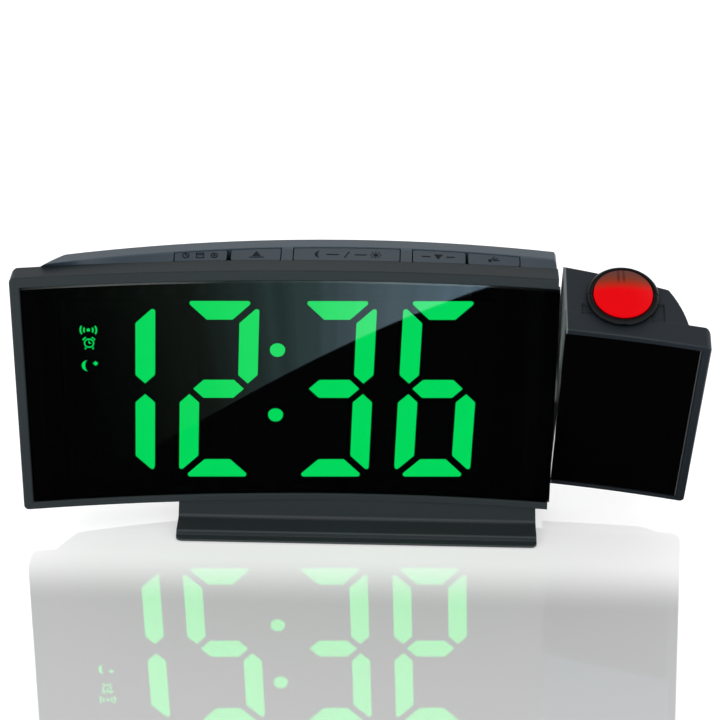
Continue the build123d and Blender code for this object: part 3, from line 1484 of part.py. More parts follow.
with BuildPart() as projector_bezel:
    slab = curved_plan(head_level(head_low), head_bezel_left, half_width, 0, bezel_depth, axis_y)
    extrude(slab, amount=body_height)
    right_end = projector_bezel.faces().sort_by(Axis.X)[-1]
    upright_edges = right_end.edges().filter_by(Axis(head.origin, head.z_dir))
    fillet(upright_edges.sort_by(Axis(head.origin, head.y_dir))[-1], bezel_back_corner)
    with BuildSketch(head_upright(overall_depth)) as outline:
        with Locations(((head_bezel_left + half_width) / 2, (head_low + head_high) / 2)):
            Rectangle(half_width - head_bezel_left, body_height)
        fillet(outline.vertices().group_by(Axis.X)[-1], bezel_corner)
    extrude(amount=2 * overall_depth, mode=Mode.INTERSECT)
    front = projector_bezel.faces().sort_by(SortBy.AREA)[-2:].sort_by(Axis(head.origin, head.y_dir))[0]
    fillet(front.edges().sort_by(Axis.X)[1:], bezel_edge)
    # seat of the panel, open at the left end
    seat_low = head_low + head_rim_bottom
    seat_right = half_width - head_rim_side
    seat = curved_plan(head_level(seat_low), head_left - wall, seat_right, -wall, panel_back, axis_y)
    extrude(seat, amount=body_height - head_rim_bottom - head_rim_top, mode=Mode.SUBTRACT)
    # hollow behind the panel
    hollow_low = head_post_w + head_post_radius
    hollow_left = head_left + 2 * wall
    hollow_right = half_width - side_room
    hollow = curved_plan(head_level(hollow_low), hollow_left, hollow_right, 0, 2 * bezel_depth, axis_y)
    extrude(hollow, amount=deck_under - head_rim_top - hollow_low, mode=Mode.SUBTRACT)
    with BuildSketch(head_level(head_high)):
        with Locations((lens_x, lens_v)):
            Circle(lens_hole)
    extrude(amount=-3 * wall, mode=Mode.SUBTRACT)
    with BuildSketch(head_level(deck_under)):
        with Locations((lens_x, lens_v)):
            Circle(tube_radius + 2 * tube_fit)
    extrude(amount=-2 * wall, mode=Mode.SUBTRACT)
    with BuildSketch(head_crossways(head_left - wall)):
        Circle(swivel_boss_radius + shaft_flange_room)
    extrude(amount=shaft_flange + 4 * wall, mode=Mode.SUBTRACT)
    extrude(finger_recesses(), amount=-notch_depth, mode=Mode.SUBTRACT)
    # posts that take the shell's screws
    for post_x in head_post_xs:
        post_end = head_slab_v[post_x] + head_post_length
        with BuildSketch(head_upright(post_end)):
            with Locations((post_x, head_post_w)):
                Circle(head_post_radius)
        extrude(amount=head_post_length + wall)
        with BuildSketch(head_upright(post_end)):
            with Locations((post_x, head_post_w)):
                Circle(screw_radius)
        extrude(amount=head_post_length, mode=Mode.SUBTRACT)
projector_bezel.part.label = "projector_bezel"
export_step(projector_bezel.part, "parts/projector_bezel.step")

with BuildPart() as projector_panel:
    panel_low = head_low + head_rim_bottom + window_fit
    panel_right = half_width - head_rim_side - window_fit
    pane = curved_plan(head_level(panel_low), head_bezel_left, panel_right, window_recess, panel_back, axis_y)
    extrude(pane, amount=body_height - head_rim_bottom - head_rim_top - 2 * window_fit)
    pane_end = projector_panel.faces().sort_by(Axis.X)[-1]
    fillet(pane_end.edges().filter_by(Axis(head.origin, head.y_dir)), window_corner)
projector_panel.part.label = "projector_panel"
export_step(projector_panel.part, "parts/projector_panel.step")

# hollow of the head, less the posts and the swivel boss that stand in it
with BuildPart() as head_hollow:
    extrude(head_plan(head_level(head_low + wall), wall), amount=body_height - 2 * wall)
    for post_x in head_post_xs:
        with BuildSketch(head_upright(head_slab_v[post_x] + head_post_length)):
            with Locations((post_x, head_post_w)):
                Circle(head_post_radius)
        extrude(amount=-overall_depth, mode=Mode.SUBTRACT)
    revolve(bulge_profile(bulge_wall), axis=lens_axis)

# rounded back behind the lens tube
with BuildPart() as bulge:
    revolve(bulge_profile(0.0), axis=lens_axis)
    split(bisect_by=head_upright(0), keep=Keep.BOTTOM)

with BuildPart() as projector_shell:
    extrude(head_plan(head_level(head_low), 0.0), amount=body_height)
    add(bulge.part)
    add(head_hollow.part, mode=Mode.SUBTRACT)
    with BuildSketch(head_crossways(head_left)):
        Circle(swivel_boss_radius + shaft_flange_room - key_fit)
    extrude(amount=wall)
    with BuildSketch(head_crossways(head_left)):
        Circle(shaft_radius)
        with PolarLocations(shaft_screw_circle, 3, start_angle=90):
            Circle(screw_radius * small_screw)
    extrude(amount=wall, mode=Mode.SUBTRACT)
    with BuildSketch(head_level(head_high)):
        with Locations((lens_x, lens_v)):
            Circle(lens_hole)
    extrude(amount=-2 * wall, mode=Mode.SUBTRACT)
    extrude(finger_recesses(), amount=-notch_depth, mode=Mode.SUBTRACT)
    # screw seats in the back
    for post_x in head_post_xs:
        seat_v = back_point(post_x, seat_depth, axis_y)[1]
        with BuildSketch(head_upright(seat_v)):
            with Locations((post_x, head_post_w)):
                Circle(counterbore)
        extrude(amount=-overall_depth, mode=Mode.SUBTRACT)
        with BuildSketch(head_upright(seat_v)):
            with Locations((post_x, head_post_w)):
                Circle(screw_hole)
        extrude(amount=overall_depth, mode=Mode.SUBTRACT)
projector_shell.part.label = "projector_shell"
export_step(projector_shell.part, "parts/projector_shell.step")

# ================================================================== projection optics
ring_low = head_high + ring_gap
ring_top = ring_low + ring_rise
lens_low = ring_low + lens_seat
with BuildPart() as focus_ring:
    with BuildSketch(lens_plane):
        with BuildLine():
            sleeve_bore = sleeve_radius - sleeve_wall
            sleeve_low = ring_low - sleeve_length
            start = (sleeve_bore, sleeve_low)
            under = (ring_radius - ring_edge, ring_low)
            side = (ring_radius, ring_low + ring_edge)
            crown = (ring_radius - ring_round, ring_top)
            lip = (ring_inner, ring_top - ring_slope)
            Polyline(start, (sleeve_radius, sleeve_low), (sleeve_radius, ring_low), under)
            RadiusArc(under, side, -ring_edge)
            ThreePointArc(side, (ring_radius - ring_round / 3, ring_top - ring_round / 3), crown)
            Polyline(crown, lip, (ring_inner, lens_low), (sleeve_bore, lens_low), start)
        make_face()
    revolve(axis=lens_axis)
    # index notches across the ring
    with BuildSketch(head_level(ring_top)):
        for side in (-1, 1):
            with Locations((lens_x + side * (ring_radius + ring_inner) / 2, lens_v)):
                Rectangle(ring_radius - ring_inner + ring_notch, ring_notch)
    extrude(amount=-ring_notch_depth, mode=Mode.SUBTRACT)
focus_ring.part.label = "focus_ring"
export_step(focus_ring.part, "parts/focus_ring.step")

with BuildPart() as projection_lens:
    with BuildSketch(lens_plane):
        with BuildLine():
            lens_rim = ring_top + lens_proud
            Polyline((0, lens_low), (lens_radius, lens_low), (lens_radius, lens_rim))
            dome_arc((lens_radius, lens_rim), lens_rim + lens_dome)
            Line((0, lens_rim + lens_dome), (0, lens_low))
        make_face()
    revolve(axis=lens_axis)
projection_lens.part.label = "projection_lens"
export_step(projection_lens.part, "parts/projection_lens.step")

tube_top = deck_under - tube_fit
with BuildPart() as lens_tube:
    with BuildSketch(lens_plane):
        with BuildLine():
            Polyline(
                (tube_lower_bore, tube_bottom),
                (tube_lower_radius, tube_bottom),
                (tube_lower_radius, tube_step - 1),
                (tube_radius, tube_step + tube_step_thickness),
                (tube_radius, tube_top),
                (tube_bore, tube_top),
                (tube_bore, tube_step + tube_step_thickness),
                (0, tube_step + tube_step_thickness),
                (0, tube_step),
                (tube_lower_bore, tube_step),
                close=True,
            )
        make_face()
    revolve(axis=lens_axis)
    with BuildSketch(head_level(tube_bottom)):
        with Locations((lens_x, lens_v)):
            SlotOverall(2 * tube_ear + tube_ear_width, tube_ear_width)
            Circle(tube_lower_bore, mode=Mode.SUBTRACT)
    extrude(amount=tube_ear_tall)
    with BuildSketch(head_level(tube_bottom)):
        with Locations((lens_x - tube_ear, lens_v), (lens_x + tube_ear, lens_v)):
            Circle(screw_radius * small_screw)
    extrude(amount=tube_ear_tall - tube_step_thickness, mode=Mode.SUBTRACT)
    with BuildSketch(head_level(tube_step)):
        with Locations((lens_x, lens_v)):
            Rectangle(*screen_window)
    extrude(amount=tube_step_thickness, mode=Mode.SUBTRACT)
lens_tube.part.label = "lens_tube"
export_step(lens_tube.part, "parts/lens_tube.step")

with BuildPart() as time_screen:
    with BuildSketch(head_level(tube_step + tube_step_thickness)):
        with Locations((lens_x, lens_v)):
            Rectangle(screen_size[0], screen_size[1])
    extrude(amount=screen_size[2])
time_screen.part.label = "time_screen"
export_step(time_screen.part, "parts/time_screen.step")

condenser_low = tube_step - condenser_edge - condenser_dome
with BuildPart() as condenser_lens:
    with BuildSketch(lens_plane):
        with BuildLine():
            knee = (condenser_radius, tube_step - condenser_edge)
            Polyline((0, condenser_low), (0, tube_step), (condenser_radius, tube_step), knee)
            dome_arc(knee, condenser_low)
        make_face()
    revolve(axis=lens_axis)
condenser_lens.part.label = "condenser_lens"
export_step(condenser_lens.part, "parts/condenser_lens.step")

with BuildPart() as projector_led:
    with BuildSketch(lens_plane):
        with BuildLine():
            flange_top_w = tube_bottom + led_flange
            shoulder = (led_radius, tube_bottom + led_straight)
            Polyline((0, tube_bottom), (led_flange_radius, tube_bottom), (led_flange_radius, flange_top_w))
            Polyline((led_flange_radius, flange_top_w), (led_radius, flange_top_w), shoulder)
            dome_arc(shoulder, tube_bottom + led_tall)
            Line((0, tube_bottom + led_tall), (0, tube_bottom))
        make_face()
    revolve(axis=lens_axis)
projector_led.part.label = "projector_led"
export_step(projector_led.part, "parts/projector_led.step")

head_board_low = tube_bottom - head_board_thickness
with BuildPart() as projector_board:
    with BuildSketch(head_level(head_board_low)):
        with Locations(((head_board_left + head_board_right) / 2, (head_board_front + head_board_back) / 2)):
            Rectangle(head_board_right - head_board_left, head_board_back - head_board_front)
        with Locations((lens_x - tube_ear, lens_v), (lens_x + tube_ear, lens_v)):
            Circle(screw_hole * small_screw, mode=Mode.SUBTRACT)
    extrude(amount=head_board_thickness)
projector_board.part.label = "projector_board"
export_step(projector_board.part, "parts/projector_board.step")

with BuildPart() as lead_plug:
    with BuildSketch(head_level(head_board_low)):
        with Locations(((plug_left + plug_right) / 2, 0)):
            Rectangle(plug_right - plug_left, 2 * plug_half_width)
    extrude(amount=-(head_board_low + lead_radius + plug_cover))
lead_plug.part.label = "lead_plug"
export_step(lead_plug.part, "parts/lead_plug.step")

with BuildPart() as projector_lead:
    turn_y = axis_y + lead_reach
    with BuildLine(level(axis_z)) as lead_path:
        Line((plug_left - key_fit, axis_y), (lead_turn_x + lead_bend, axis_y))
        TangentArc((lead_turn_x + lead_bend, axis_y), (lead_turn_x, axis_y + lead_bend), tangent=(-1, 0))
        Line((lead_turn_x, axis_y + lead_bend), (lead_turn_x, turn_y - lead_bend))
        TangentArc((lead_turn_x, turn_y - lead_bend), (lead_turn_x - lead_bend, turn_y), tangent=(0, 1))
        Line((lead_turn_x - lead_bend, turn_y), (lead_end_x, turn_y))
    with BuildSketch(crossways(plug_left - key_fit)):
        with Locations((axis_y, axis_z)):
            Circle(lead_radius)
    sweep(path=lead_path.wire())
projector_lead.part.label = "projector_lead"
export_step(projector_lead.part, "parts/projector_lead.step")

# ================================================================== screws
with BuildPart() as housing_screws:
    for post_x, height in case_posts:
        seat_y = case_seat(post_x, height)
        shank = seat_y - face_point(post_x, bezel_depth)[1] - screw_end_room
        add_screws(facing_back(seat_y), [(-post_x, body_bottom + height)], shank)
housing_screws.part.label = "housing_screws"
export_step(housing_screws.part, "parts/housing_screws.step")

with BuildPart() as display_screws:
    rear_of_board = display_plane(display_back + led_board_thickness)
    rear_of_board = Plane(origin=rear_of_board.origin, x_dir=-rear_of_board.x_dir, z_dir=-rear_of_board.z_dir)
    add_screws(rear_of_board, [(-u, height) for u, height in flange_bosses], display_screw, small_screw)
display_screws.part.label = "display_screws"
export_step(display_screws.part, "parts/display_screws.step")

with BuildPart() as board_screws:
    board_post_places = [(x, body_bottom + height) for x, height in board_posts]
    add_screws(upright(board_y), board_post_places, board_screw, small_screw)
    key_post_places = [(x, -key_post_y[x]) for x in key_post_xs]
    add_screws(facing_down(key_board_low), key_post_places, key_board_screw, small_screw)
board_screws.part.label = "board_screws"
export_step(board_screws.part, "parts/board_screws.step")

with BuildPart() as foot_screws:
    screw_places = [(-foot_screw_x, -foot_screws_y), (foot_screw_x, -foot_screws_y)]
    add_screws(facing_down(foot_screw_seat), screw_places, foot_screw)
foot_screws.part.label = "foot_screws"
export_step(foot_screws.part, "parts/foot_screws.step")

with BuildPart() as pivot_screws:
    for angle in (90, 210, 330):
        place = (shaft_screw_circle * cos(radians(angle)), shaft_screw_circle * sin(radians(angle)))
        add_screws(head_crossways(flange_x + shaft_flange), [place], pivot_screw, small_screw)
pivot_screws.part.label = "pivot_screws"
export_step(pivot_screws.part, "parts/pivot_screws.step")

with BuildPart() as tube_screws:
    under_board = Plane(origin=head_level(head_board_low).origin, x_dir=head.x_dir, z_dir=-head.z_dir)
    ear_places = [(lens_x - tube_ear, -lens_v), (lens_x + tube_ear, -lens_v)]
    add_screws(under_board, ear_places, tube_screw, small_screw)
tube_screws.part.label = "tube_screws"
export_step(tube_screws.part, "parts/tube_screws.step")

with BuildPart() as projector_screws:
    for post_x in head_post_xs:
        seat_v = back_point(post_x, seat_depth, axis_y)[1]
        shank = seat_v - head_slab_v[post_x] - screw_end_room / 2
        add_screws(head_facing_back(seat_v), [(-post_x, head_post_w)], shank)
projector_screws.part.label = "projector_screws"
export_step(projector_screws.part, "parts/projector_screws.step")
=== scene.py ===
"""Dresses the projection alarm clock: finishes, signs, lit lens, floor, lights and camera."""
from math import asin, atan2, cos, pi, radians, sin

import bmesh
import bpy
from bpy.props import FloatProperty, FloatVectorProperty, PointerProperty
from mathutils import Matrix, Vector
from mathutils.bvhtree import BVHTree


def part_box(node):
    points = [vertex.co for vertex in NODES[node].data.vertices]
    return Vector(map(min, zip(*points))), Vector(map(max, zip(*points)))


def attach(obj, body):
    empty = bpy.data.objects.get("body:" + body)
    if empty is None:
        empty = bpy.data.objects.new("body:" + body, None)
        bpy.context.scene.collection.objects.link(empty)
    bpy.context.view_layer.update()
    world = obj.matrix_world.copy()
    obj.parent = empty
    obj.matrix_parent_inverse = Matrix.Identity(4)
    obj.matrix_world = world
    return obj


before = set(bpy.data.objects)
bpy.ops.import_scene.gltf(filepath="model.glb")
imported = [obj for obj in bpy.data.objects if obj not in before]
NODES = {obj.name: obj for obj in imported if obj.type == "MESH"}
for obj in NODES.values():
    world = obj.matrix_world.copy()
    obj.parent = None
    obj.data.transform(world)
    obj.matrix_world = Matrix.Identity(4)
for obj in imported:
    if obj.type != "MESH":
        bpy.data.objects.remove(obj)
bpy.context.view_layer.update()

bl_info = {
    "name": "Projection Alarm Clock",
    "version": (1, 0, 0),
    "blender": (4, 5, 0),
    "location": "View3D > Sidebar > Clock",
    "description": "Finishes a projection alarm clock and lights it for a studio picture",
    "category": "Object",
}

MM = 0.001
BLACK = (0.001, 0.001, 0.0012)
UNLIT = (0.0, 0.0, 0.0)
WHITE = (1.0, 1.0, 1.0)

# Shapes that the finishes follow, in millimetres in the clock's own frame
FACE_RADIUS = 590.0              # the hollow curve of the clock's front
FACE_CENTRE_Y = -595.86          # where that curve's axis stands
WINDOW_MIDDLE = 1.5              # from the front's curve to the middle of the window's thickness
WINDOW_SEAT = 2.2                # from the front's curve to just before the seat behind the window
SEAT_X = (-100.9, 60.5)          # the seat behind the window
SEAT_Z = (12.6, 87.5)
WINDOW_TOP = 86.8                # the window's top edge lies above this
WINDOW_PAINTED_GLINT = (                 # painted highlight along this edge, its share from left to right
    (0.0, 0.2), (0.14, 1.0), (0.28, 0.8), (0.38, 0.08), (0.55, 0.2),
    (0.68, 0.8), (0.80, 0.7), (0.89, 0.1), (1.0, 0.05),
)
CLEAR_X = (-90.0, 42.0)          # the part of the window that isn't printed black
CLEAR_Z = (15.4, 81.2)
RIDGE_BOTTOM = 92.15             # the flat strip behind the keys starts here
RIDGE_PAINTED_SHEEN = 1.4                # and gets painted sheen, lighter by this
HEAD_LEFT_WALL = 62.0            # the head's left wall, which gets painted light, lies left of this
DISPLAY_TURN = radians(2.139)    # the display's plane against the X axis
HEAD_TURN = radians(24.4)        # forward tilt of the projector head
PANEL_UPWARD = (4.0, 85.7)       # the head's panel between its edges with painted highlight, along the tilted head
PANEL_RIGHT = 100.9              # the painted highlight on the right edge starts here
LENS_X = 78.5                    # where the lens's axis stands
LENS_RADIUS = 8.7
FAR_SIDE = (2.2, 5.5)            # the lens grows dim between these, from its middle to the back
STRUT_SHIFT = 0.5                # the two struts' middle stands this far left of the lens's axis
STRUT_GAP = 1.6                  # from strut to strut
STRUT_EDGE = (0.1, 0.6)          # a strut is darkest up to the first and gone at the second
RIM_WIDTH = 1.6                  # the dark band round the far side
STRUT_DARK, RIM_DARK = 0.9, 0.55    # how dark the struts and that band get
SIGN_COLUMN = -82.25             # the middle of the display's signs along X
KEY_SIGN_SHIFT = 0.4             # a key's sign stands this far before the key's middle
KEY_SIGN_DROP = 20.0             # and is dropped on the key from this far above
DISPLAY_SIGN_DROP = 10.0         # a display's sign is pushed back on its node from this far

# Fixed colours of painted highlights on edges, and of the struts
PAINTED_GLINT_COLOUR = (0.11, 0.12, 0.118)
PANEL_PAINTED_HIGHLIGHT = (0.07, 0.075, 0.08)
STRUT_COLOUR = (0.012, 0.010, 0.009)

# How moulded and polished plastic vary
GRAIN_SIZE = 0.35                # millimetres across a grain of moulded plastic
FLOW_SIZE = 28.0                 # millimetres over which its shade drifts
FLOW_SHARE = 0.7                 # share of the drift that is flow; the rest is grain
SHADE_SPREAD = 0.12              # how far the drift goes either way
GRAIN_GLOSS = 0.08               # spread of the roughness over the grain
FLOW_GLOSS = 0.04                # and over the flow
MEAN_GLOSS = (GRAIN_GLOSS + FLOW_GLOSS) / 2    # what both add on average
SMEAR_SIZE = 14.0                # millimetres over which a polished face's sheen drifts
SMEAR_SHADE = 1.3                # how much lighter its light parts are
SMEAR_GLOSS = 0.02               # spread of its roughness

# How lit diffusers and metal vary
UNLIT_SHARE = 0.05               # share of its colour that a diffuser has without its light
GLOW_SIZE, GLOW_DIP = 6.0, 0.94  # millimetres over which the light drifts, and its lowest share
BRUSH_SIZE = 0.4                 # millimetres across the brushing of metal
BRUSH_SHADE = 0.85               # how much darker its dark parts are
BRUSH_GLOSS = 0.15               # spread of its roughness

# How the stage's light and mirror change, in millimetres
CARD_EDGE = (-1.644, 0.005707, 133.16)      # the light's edge: slope, bend and how far in front
CARD_SOFTNESS = 0.3                         # half the width over which that edge fades
CARD_LIGHT = (-70.0, 20.0)                  # the light grows between these along X
CARD_STOPS = (                              # its colour there, from left to right
    (0.0, UNLIT), (0.13, (0.004, 0.010, 0.005)), (0.34, (0.032, 0.046, 0.036)),
    (0.60, (0.135, 0.250, 0.240)), (0.83, (0.406, 0.607, 0.714)), (1.0, (0.496, 0.782, 1.0)),
)
CARD_PEAK = 3.3                             # its full strength
STREAKS = 26.0                              # upright streaks over that light
STREAK_LOW, STREAK_SPREAD = 0.72, 0.56      # their darkest share, and how much they add
DIM_CEILING = (300.0, 1050.0)               # the ceiling brightens between these, from its middle
MIRROR_FLOOR = (-22.0, -50.0)               # the floor's mirror grows between these along Y
NEAR_SHINE = 0.2                            # its share before that
MIRROR_BLUR = 0.025                         # its roughness

# Half sizes and places of the stage's sheets and lamp, in metres
FLOOR_SIZE = (6.0, 6.0)
CEILING_SIZE, CEILING_HEIGHT = (1.3, 1.3), 1.2
CARD_SIZE, CARD_PLACE = (0.12, 0.21), (0.0, -0.19, 0.002)
FILL_PLACE, FILL_AIM, FILL_SIZE = (-0.35, -1.1, 0.12), (0.0, 0.0, 0.05), 0.7
RAYS = ("camera", "diffuse", "glossy", "transmission", "shadow")


# ---------------------------------------------------------------- shader helpers
class Wire:
    """A node's output that takes part in sums."""

    def __init__(self, tree, socket):
        self.tree = tree
        self.socket = socket

    def plug(self, target):
        """Link this output to an input."""
        self.tree.links.new(self.socket, target)

    def _math(self, operation, first, second=0.0):
        node = self.tree.nodes.new("ShaderNodeMath")
        node.operation = operation
        for socket, value in zip(node.inputs, (first, second)):
            fill(socket, value)
        return Wire(self.tree, node.outputs[0])

    def __add__(self, other):
        return self._math("ADD", self, other)

    def __radd__(self, other):
        return self._math("ADD", other, self)

    def __sub__(self, other):
        return self._math("SUBTRACT", self, other)

    def __rsub__(self, other):
        return self._math("SUBTRACT", other, self)

    def __mul__(self, other):
        return self._math("MULTIPLY", self, other)

    def __rmul__(self, other):
        return self._math("MULTIPLY", other, self)

    def __pow__(self, other):
        return self._math("POWER", self, other)

    def __gt__(self, other):
        return self._math("GREATER_THAN", self, other)

    def __lt__(self, other):
        return self._math("LESS_THAN", self, other)

    def __abs__(self):
        return self._math("ABSOLUTE", self)

    def least(self, other):
        """The smaller of two values."""
        return self._math("MINIMUM", self, other)


def fill(socket, value):
    """Link a wire to a socket, or set the socket to a number, a vector or a colour."""
    if isinstance(value, Wire):
        value.plug(socket)
    elif socket.type == "RGBA":
        socket.default_value = (*value, 1.0)
    else:
        socket.default_value = value


class Nodes:
    """An emptied node tree that hands out its nodes' outputs as wires."""

    def __init__(self, tree):
        self.tree = tree
        self.tree.nodes.clear()

    def node(self, kind, settings=None, inputs=None, output=0):
        """A node from its type, its settings and the values or links of its sockets."""
        made = self.tree.nodes.new("ShaderNode" + kind)
        for name, value in (settings or {}).items():
            if name == "stops":
                ramp = made.color_ramp
                while len(ramp.elements) < len(value):
                    ramp.elements.new(0.5)
                for element, (position, colour) in zip(ramp.elements, value):
                    element.position = position
                    element.color = (*colour, 1.0)
            else:
                setattr(made, name, value)
        for name, value in (inputs or {}).items():
            fill(made.inputs[name], value)
        if isinstance(output, tuple):
            return [Wire(self.tree, made.outputs[name]) for name in output]
        return Wire(self.tree, made.outputs[output]) if made.outputs else made

    def place(self):
        """Object coordinates in millimetres."""
        inputs = {"Vector": self.node("TexCoord", output="Object"), "Scale": (1 / MM,) * 3}
        return self.node("Mapping", {"vector_type": "POINT"}, inputs)

    def axes(self):
        """Object coordinates along X, Y and Z, in millimetres."""
        return self.node("SeparateXYZ", inputs={0: self.place()}, output=(0, 1, 2))

    def noise(self, size, detail, roughness, place=None):
        """Noise whose features are about a size in millimetres."""
        inputs = {
            "Vector": place or self.place(), "Scale": 1 / size,
            "Detail": detail, "Roughness": roughness,
        }
        return self.node("TexNoise", inputs=inputs)

    def mix(self, factor, first, second):
        """Blend two colours."""
        return self.node("Mix", {"data_type": "RGBA"}, {0: factor, 6: first, 7: second}, output=2)

    def ease(self, value, start, end, low=0.0, high=1.0):
        """A smooth rise from low to high while a value goes from start to end."""
        inputs = {
            "Value": value, "From Min": start, "From Max": end, "To Min": low, "To Max": high,
        }
        return self.node("MapRange", {"interpolation_type": "SMOOTHSTEP"}, inputs)


class Finish(Nodes):
    """A node material whose surface is a Principled shader."""

    def __init__(self, name, **sockets):
        self.material = bpy.data.materials.new(name)
        self.material.use_nodes = True
        super().__init__(self.material.node_tree)
        self.surface = self.node("BsdfPrincipled")
        self.output = self.node("OutputMaterial")
        self.show(self.surface)
        self.set(**sockets)

    def show(self, surface):
        """Send a shader to the material's output."""
        surface.plug(self.output.inputs["Surface"])

    def set(self, **sockets):
        """Set or link the Principled shader's sockets; underscores stand for spaces."""
        for name, value in sockets.items():
            fill(self.surface.socket.node.inputs[name.replace("_", " ")], value)

    def bump(self, height, distance, rounding=0.0):
        """Normal from a height, with its distance and the rounding of the edges in millimetres."""
        inputs = {"Height": height, "Distance": distance * MM}
        if rounding:
            inputs["Normal"] = self.node("Bevel", {"samples": 6}, {"Radius": rounding * MM})
        return self.node("Bump", inputs=inputs)


def shade(colour, factor):
    """A colour made lighter or darker."""
    return tuple(min(1.0, channel * factor) for channel in colour)


# ---------------------------------------------------------------- finishes
def moulded_plastic(name, colour, roughness, specular, grain_depth=0.006, rounding=0.35):
    """Moulded plastic with a fine spark-eroded grain, faint flow shading and softened edges."""
    finish = Finish(name, Specular_IOR_Level=specular)
    place = finish.place()
    fine = finish.noise(GRAIN_SIZE, 3.0, 0.6, place)
    flow = finish.noise(FLOW_SIZE, 2.0, 0.5, place)
    drift = flow * FLOW_SHARE + fine * (1 - FLOW_SHARE)
    darker, lighter = shade(colour, 1 - SHADE_SPREAD), shade(colour, 1 + SHADE_SPREAD)
    finish.set(
        Base_Color=finish.mix(drift, darker, lighter),
        Roughness=roughness - MEAN_GLOSS + fine * GRAIN_GLOSS + flow * FLOW_GLOSS,
        Normal=finish.bump(fine, grain_depth, rounding),
    )
    return finish


def tint_where(finish, mask, colour):
    """Blend another colour into a finish where a mask is one."""
    socket = finish.surface.socket.node.inputs["Base Color"]
    base = Wire(finish.tree, socket.links[0].from_socket)
    finish.set(Base_Color=finish.mix(mask, base, colour))


def polished(name, colour, alpha=1.0, specular=0.5, roughness=0.04):
    """Polished plastic, clear through its alpha."""
    finish = Finish(name, Specular_IOR_Level=specular, Alpha=alpha)
    smear = finish.noise(SMEAR_SIZE, 3.0, 0.55)
    finish.set(
        Base_Color=finish.mix(smear, colour, shade(colour, SMEAR_SHADE)),
        Roughness=roughness + smear * SMEAR_GLOSS,
    )
    return finish


def behind_face(x, y, distance):
    """One behind the front's curve by more than a distance, and zero before that."""
    depth = y - FACE_CENTRE_Y
    return (x * x + depth * depth) > (FACE_RADIUS + distance) ** 2


def inside(value, limits):
    """One between two limits, and zero outside."""
    return (value > limits[0]) * (value < limits[1])


def share_of(value, limits):
    """Where a value stands between two limits, from zero to one."""
    low, high = limits
    return (value - low) * (1 / (high - low))


def smoked_window(tint):
    """Smoked acrylic, with a black border printed on its back around the display, and a painted
    highlight along its top edge.
    """
    finish = polished("smoked window", BLACK, tint, specular=0.8, roughness=0.01)
    x, y, z = finish.axes()
    back = behind_face(x, y, WINDOW_MIDDLE)
    clear = inside(x, CLEAR_X) * inside(z, CLEAR_Z)
    stops = [(position, (share,) * 3) for position, share in WINDOW_PAINTED_GLINT]
    painted_glint = finish.node("ValToRGB", {"stops": stops}, {"Fac": share_of(x, SEAT_X)})
    # painted highlight: a pale line blended into the colour along the window's top edge
    tint_where(finish, painted_glint * (z > WINDOW_TOP), PAINTED_GLINT_COLOUR)
    ink = {"Base Color": BLACK, "Roughness": 0.8, "Specular IOR Level": 0.0, "Alpha": 1 - clear}
    border = finish.node("BsdfPrincipled", inputs=ink)
    finish.show(finish.node("MixShader", inputs={0: back, 1: finish.surface, 2: border}))
    return finish


def glowing(name, colour, strength):
    """A diffuser lit from behind, a little uneven over its width."""
    body = shade(colour, UNLIT_SHARE)
    finish = Finish(name, Base_Color=body, Roughness=0.6, Specular_IOR_Level=0.1)
    cloud = finish.noise(GLOW_SIZE, 1.0, 0.4)
    glow = finish.mix(cloud, shade(colour, GLOW_DIP), colour)
    finish.set(Emission_Color=glow, Emission_Strength=strength)
    return finish


def lit_lens(red, strength, centre):
    """A red lens lit from below, with its dim barrel and two struts on the far side."""
    body = shade(red, 0.12)
    finish = Finish("lit lens", Base_Color=body, Roughness=0.08, Specular_IOR_Level=0.1)
    x, y, z = finish.axes()
    across = x - LENS_X
    along = (y - centre.y) * cos(HEAD_TURN) + (z - centre.z) * sin(HEAD_TURN)
    stops = (
        (0.0, red), (0.53, red), (0.66, (0.36, 0.020, 0.007)), (0.77, (0.14, 0.032, 0.012)),
        (0.88, (0.065, 0.034, 0.020)), (1.0, (0.045, 0.036, 0.030)),
    )
    reach = (along + LENS_RADIUS) * (0.5 / LENS_RADIUS)
    glow = finish.node("ValToRGB", {"stops": stops}, {"Fac": reach})
    far = finish.ease(along, *FAR_SIDE)
    off_strut = abs(abs(across + STRUT_SHIFT) - STRUT_GAP / 2)
    strut = finish.ease(off_strut, *STRUT_EDGE, 1.0, 0.0)
    from_axis = (across * across + along * along) ** 0.5
    rim = finish.ease(from_axis, LENS_RADIUS - RIM_WIDTH, LENS_RADIUS, 0.0, RIM_DARK)
    cloud = finish.noise(5.0, 1.0, 0.5)
    dim = far * (strut * STRUT_DARK + rim * cloud).least(1.0)
    finish.set(Emission_Color=finish.mix(dim, glow, STRUT_COLOUR), Emission_Strength=strength)
    return finish


def plain_metal(name, colour, roughness):
    """Metal with a faint random brushing."""
    finish = Finish(name, Metallic=1.0)
    grain = finish.noise(BRUSH_SIZE, 4.0, 0.7)
    finish.set(
        Base_Color=finish.mix(grain, shade(colour, BRUSH_SHADE), colour),
        Roughness=roughness + grain * BRUSH_GLOSS,
    )
    return finish


def finish_nodes(finish, *names):
    """Give CAD nodes a finish."""
    for name in names:
        mesh = NODES[name].data
        mesh.materials.clear()
        mesh.materials.append(finish.material)


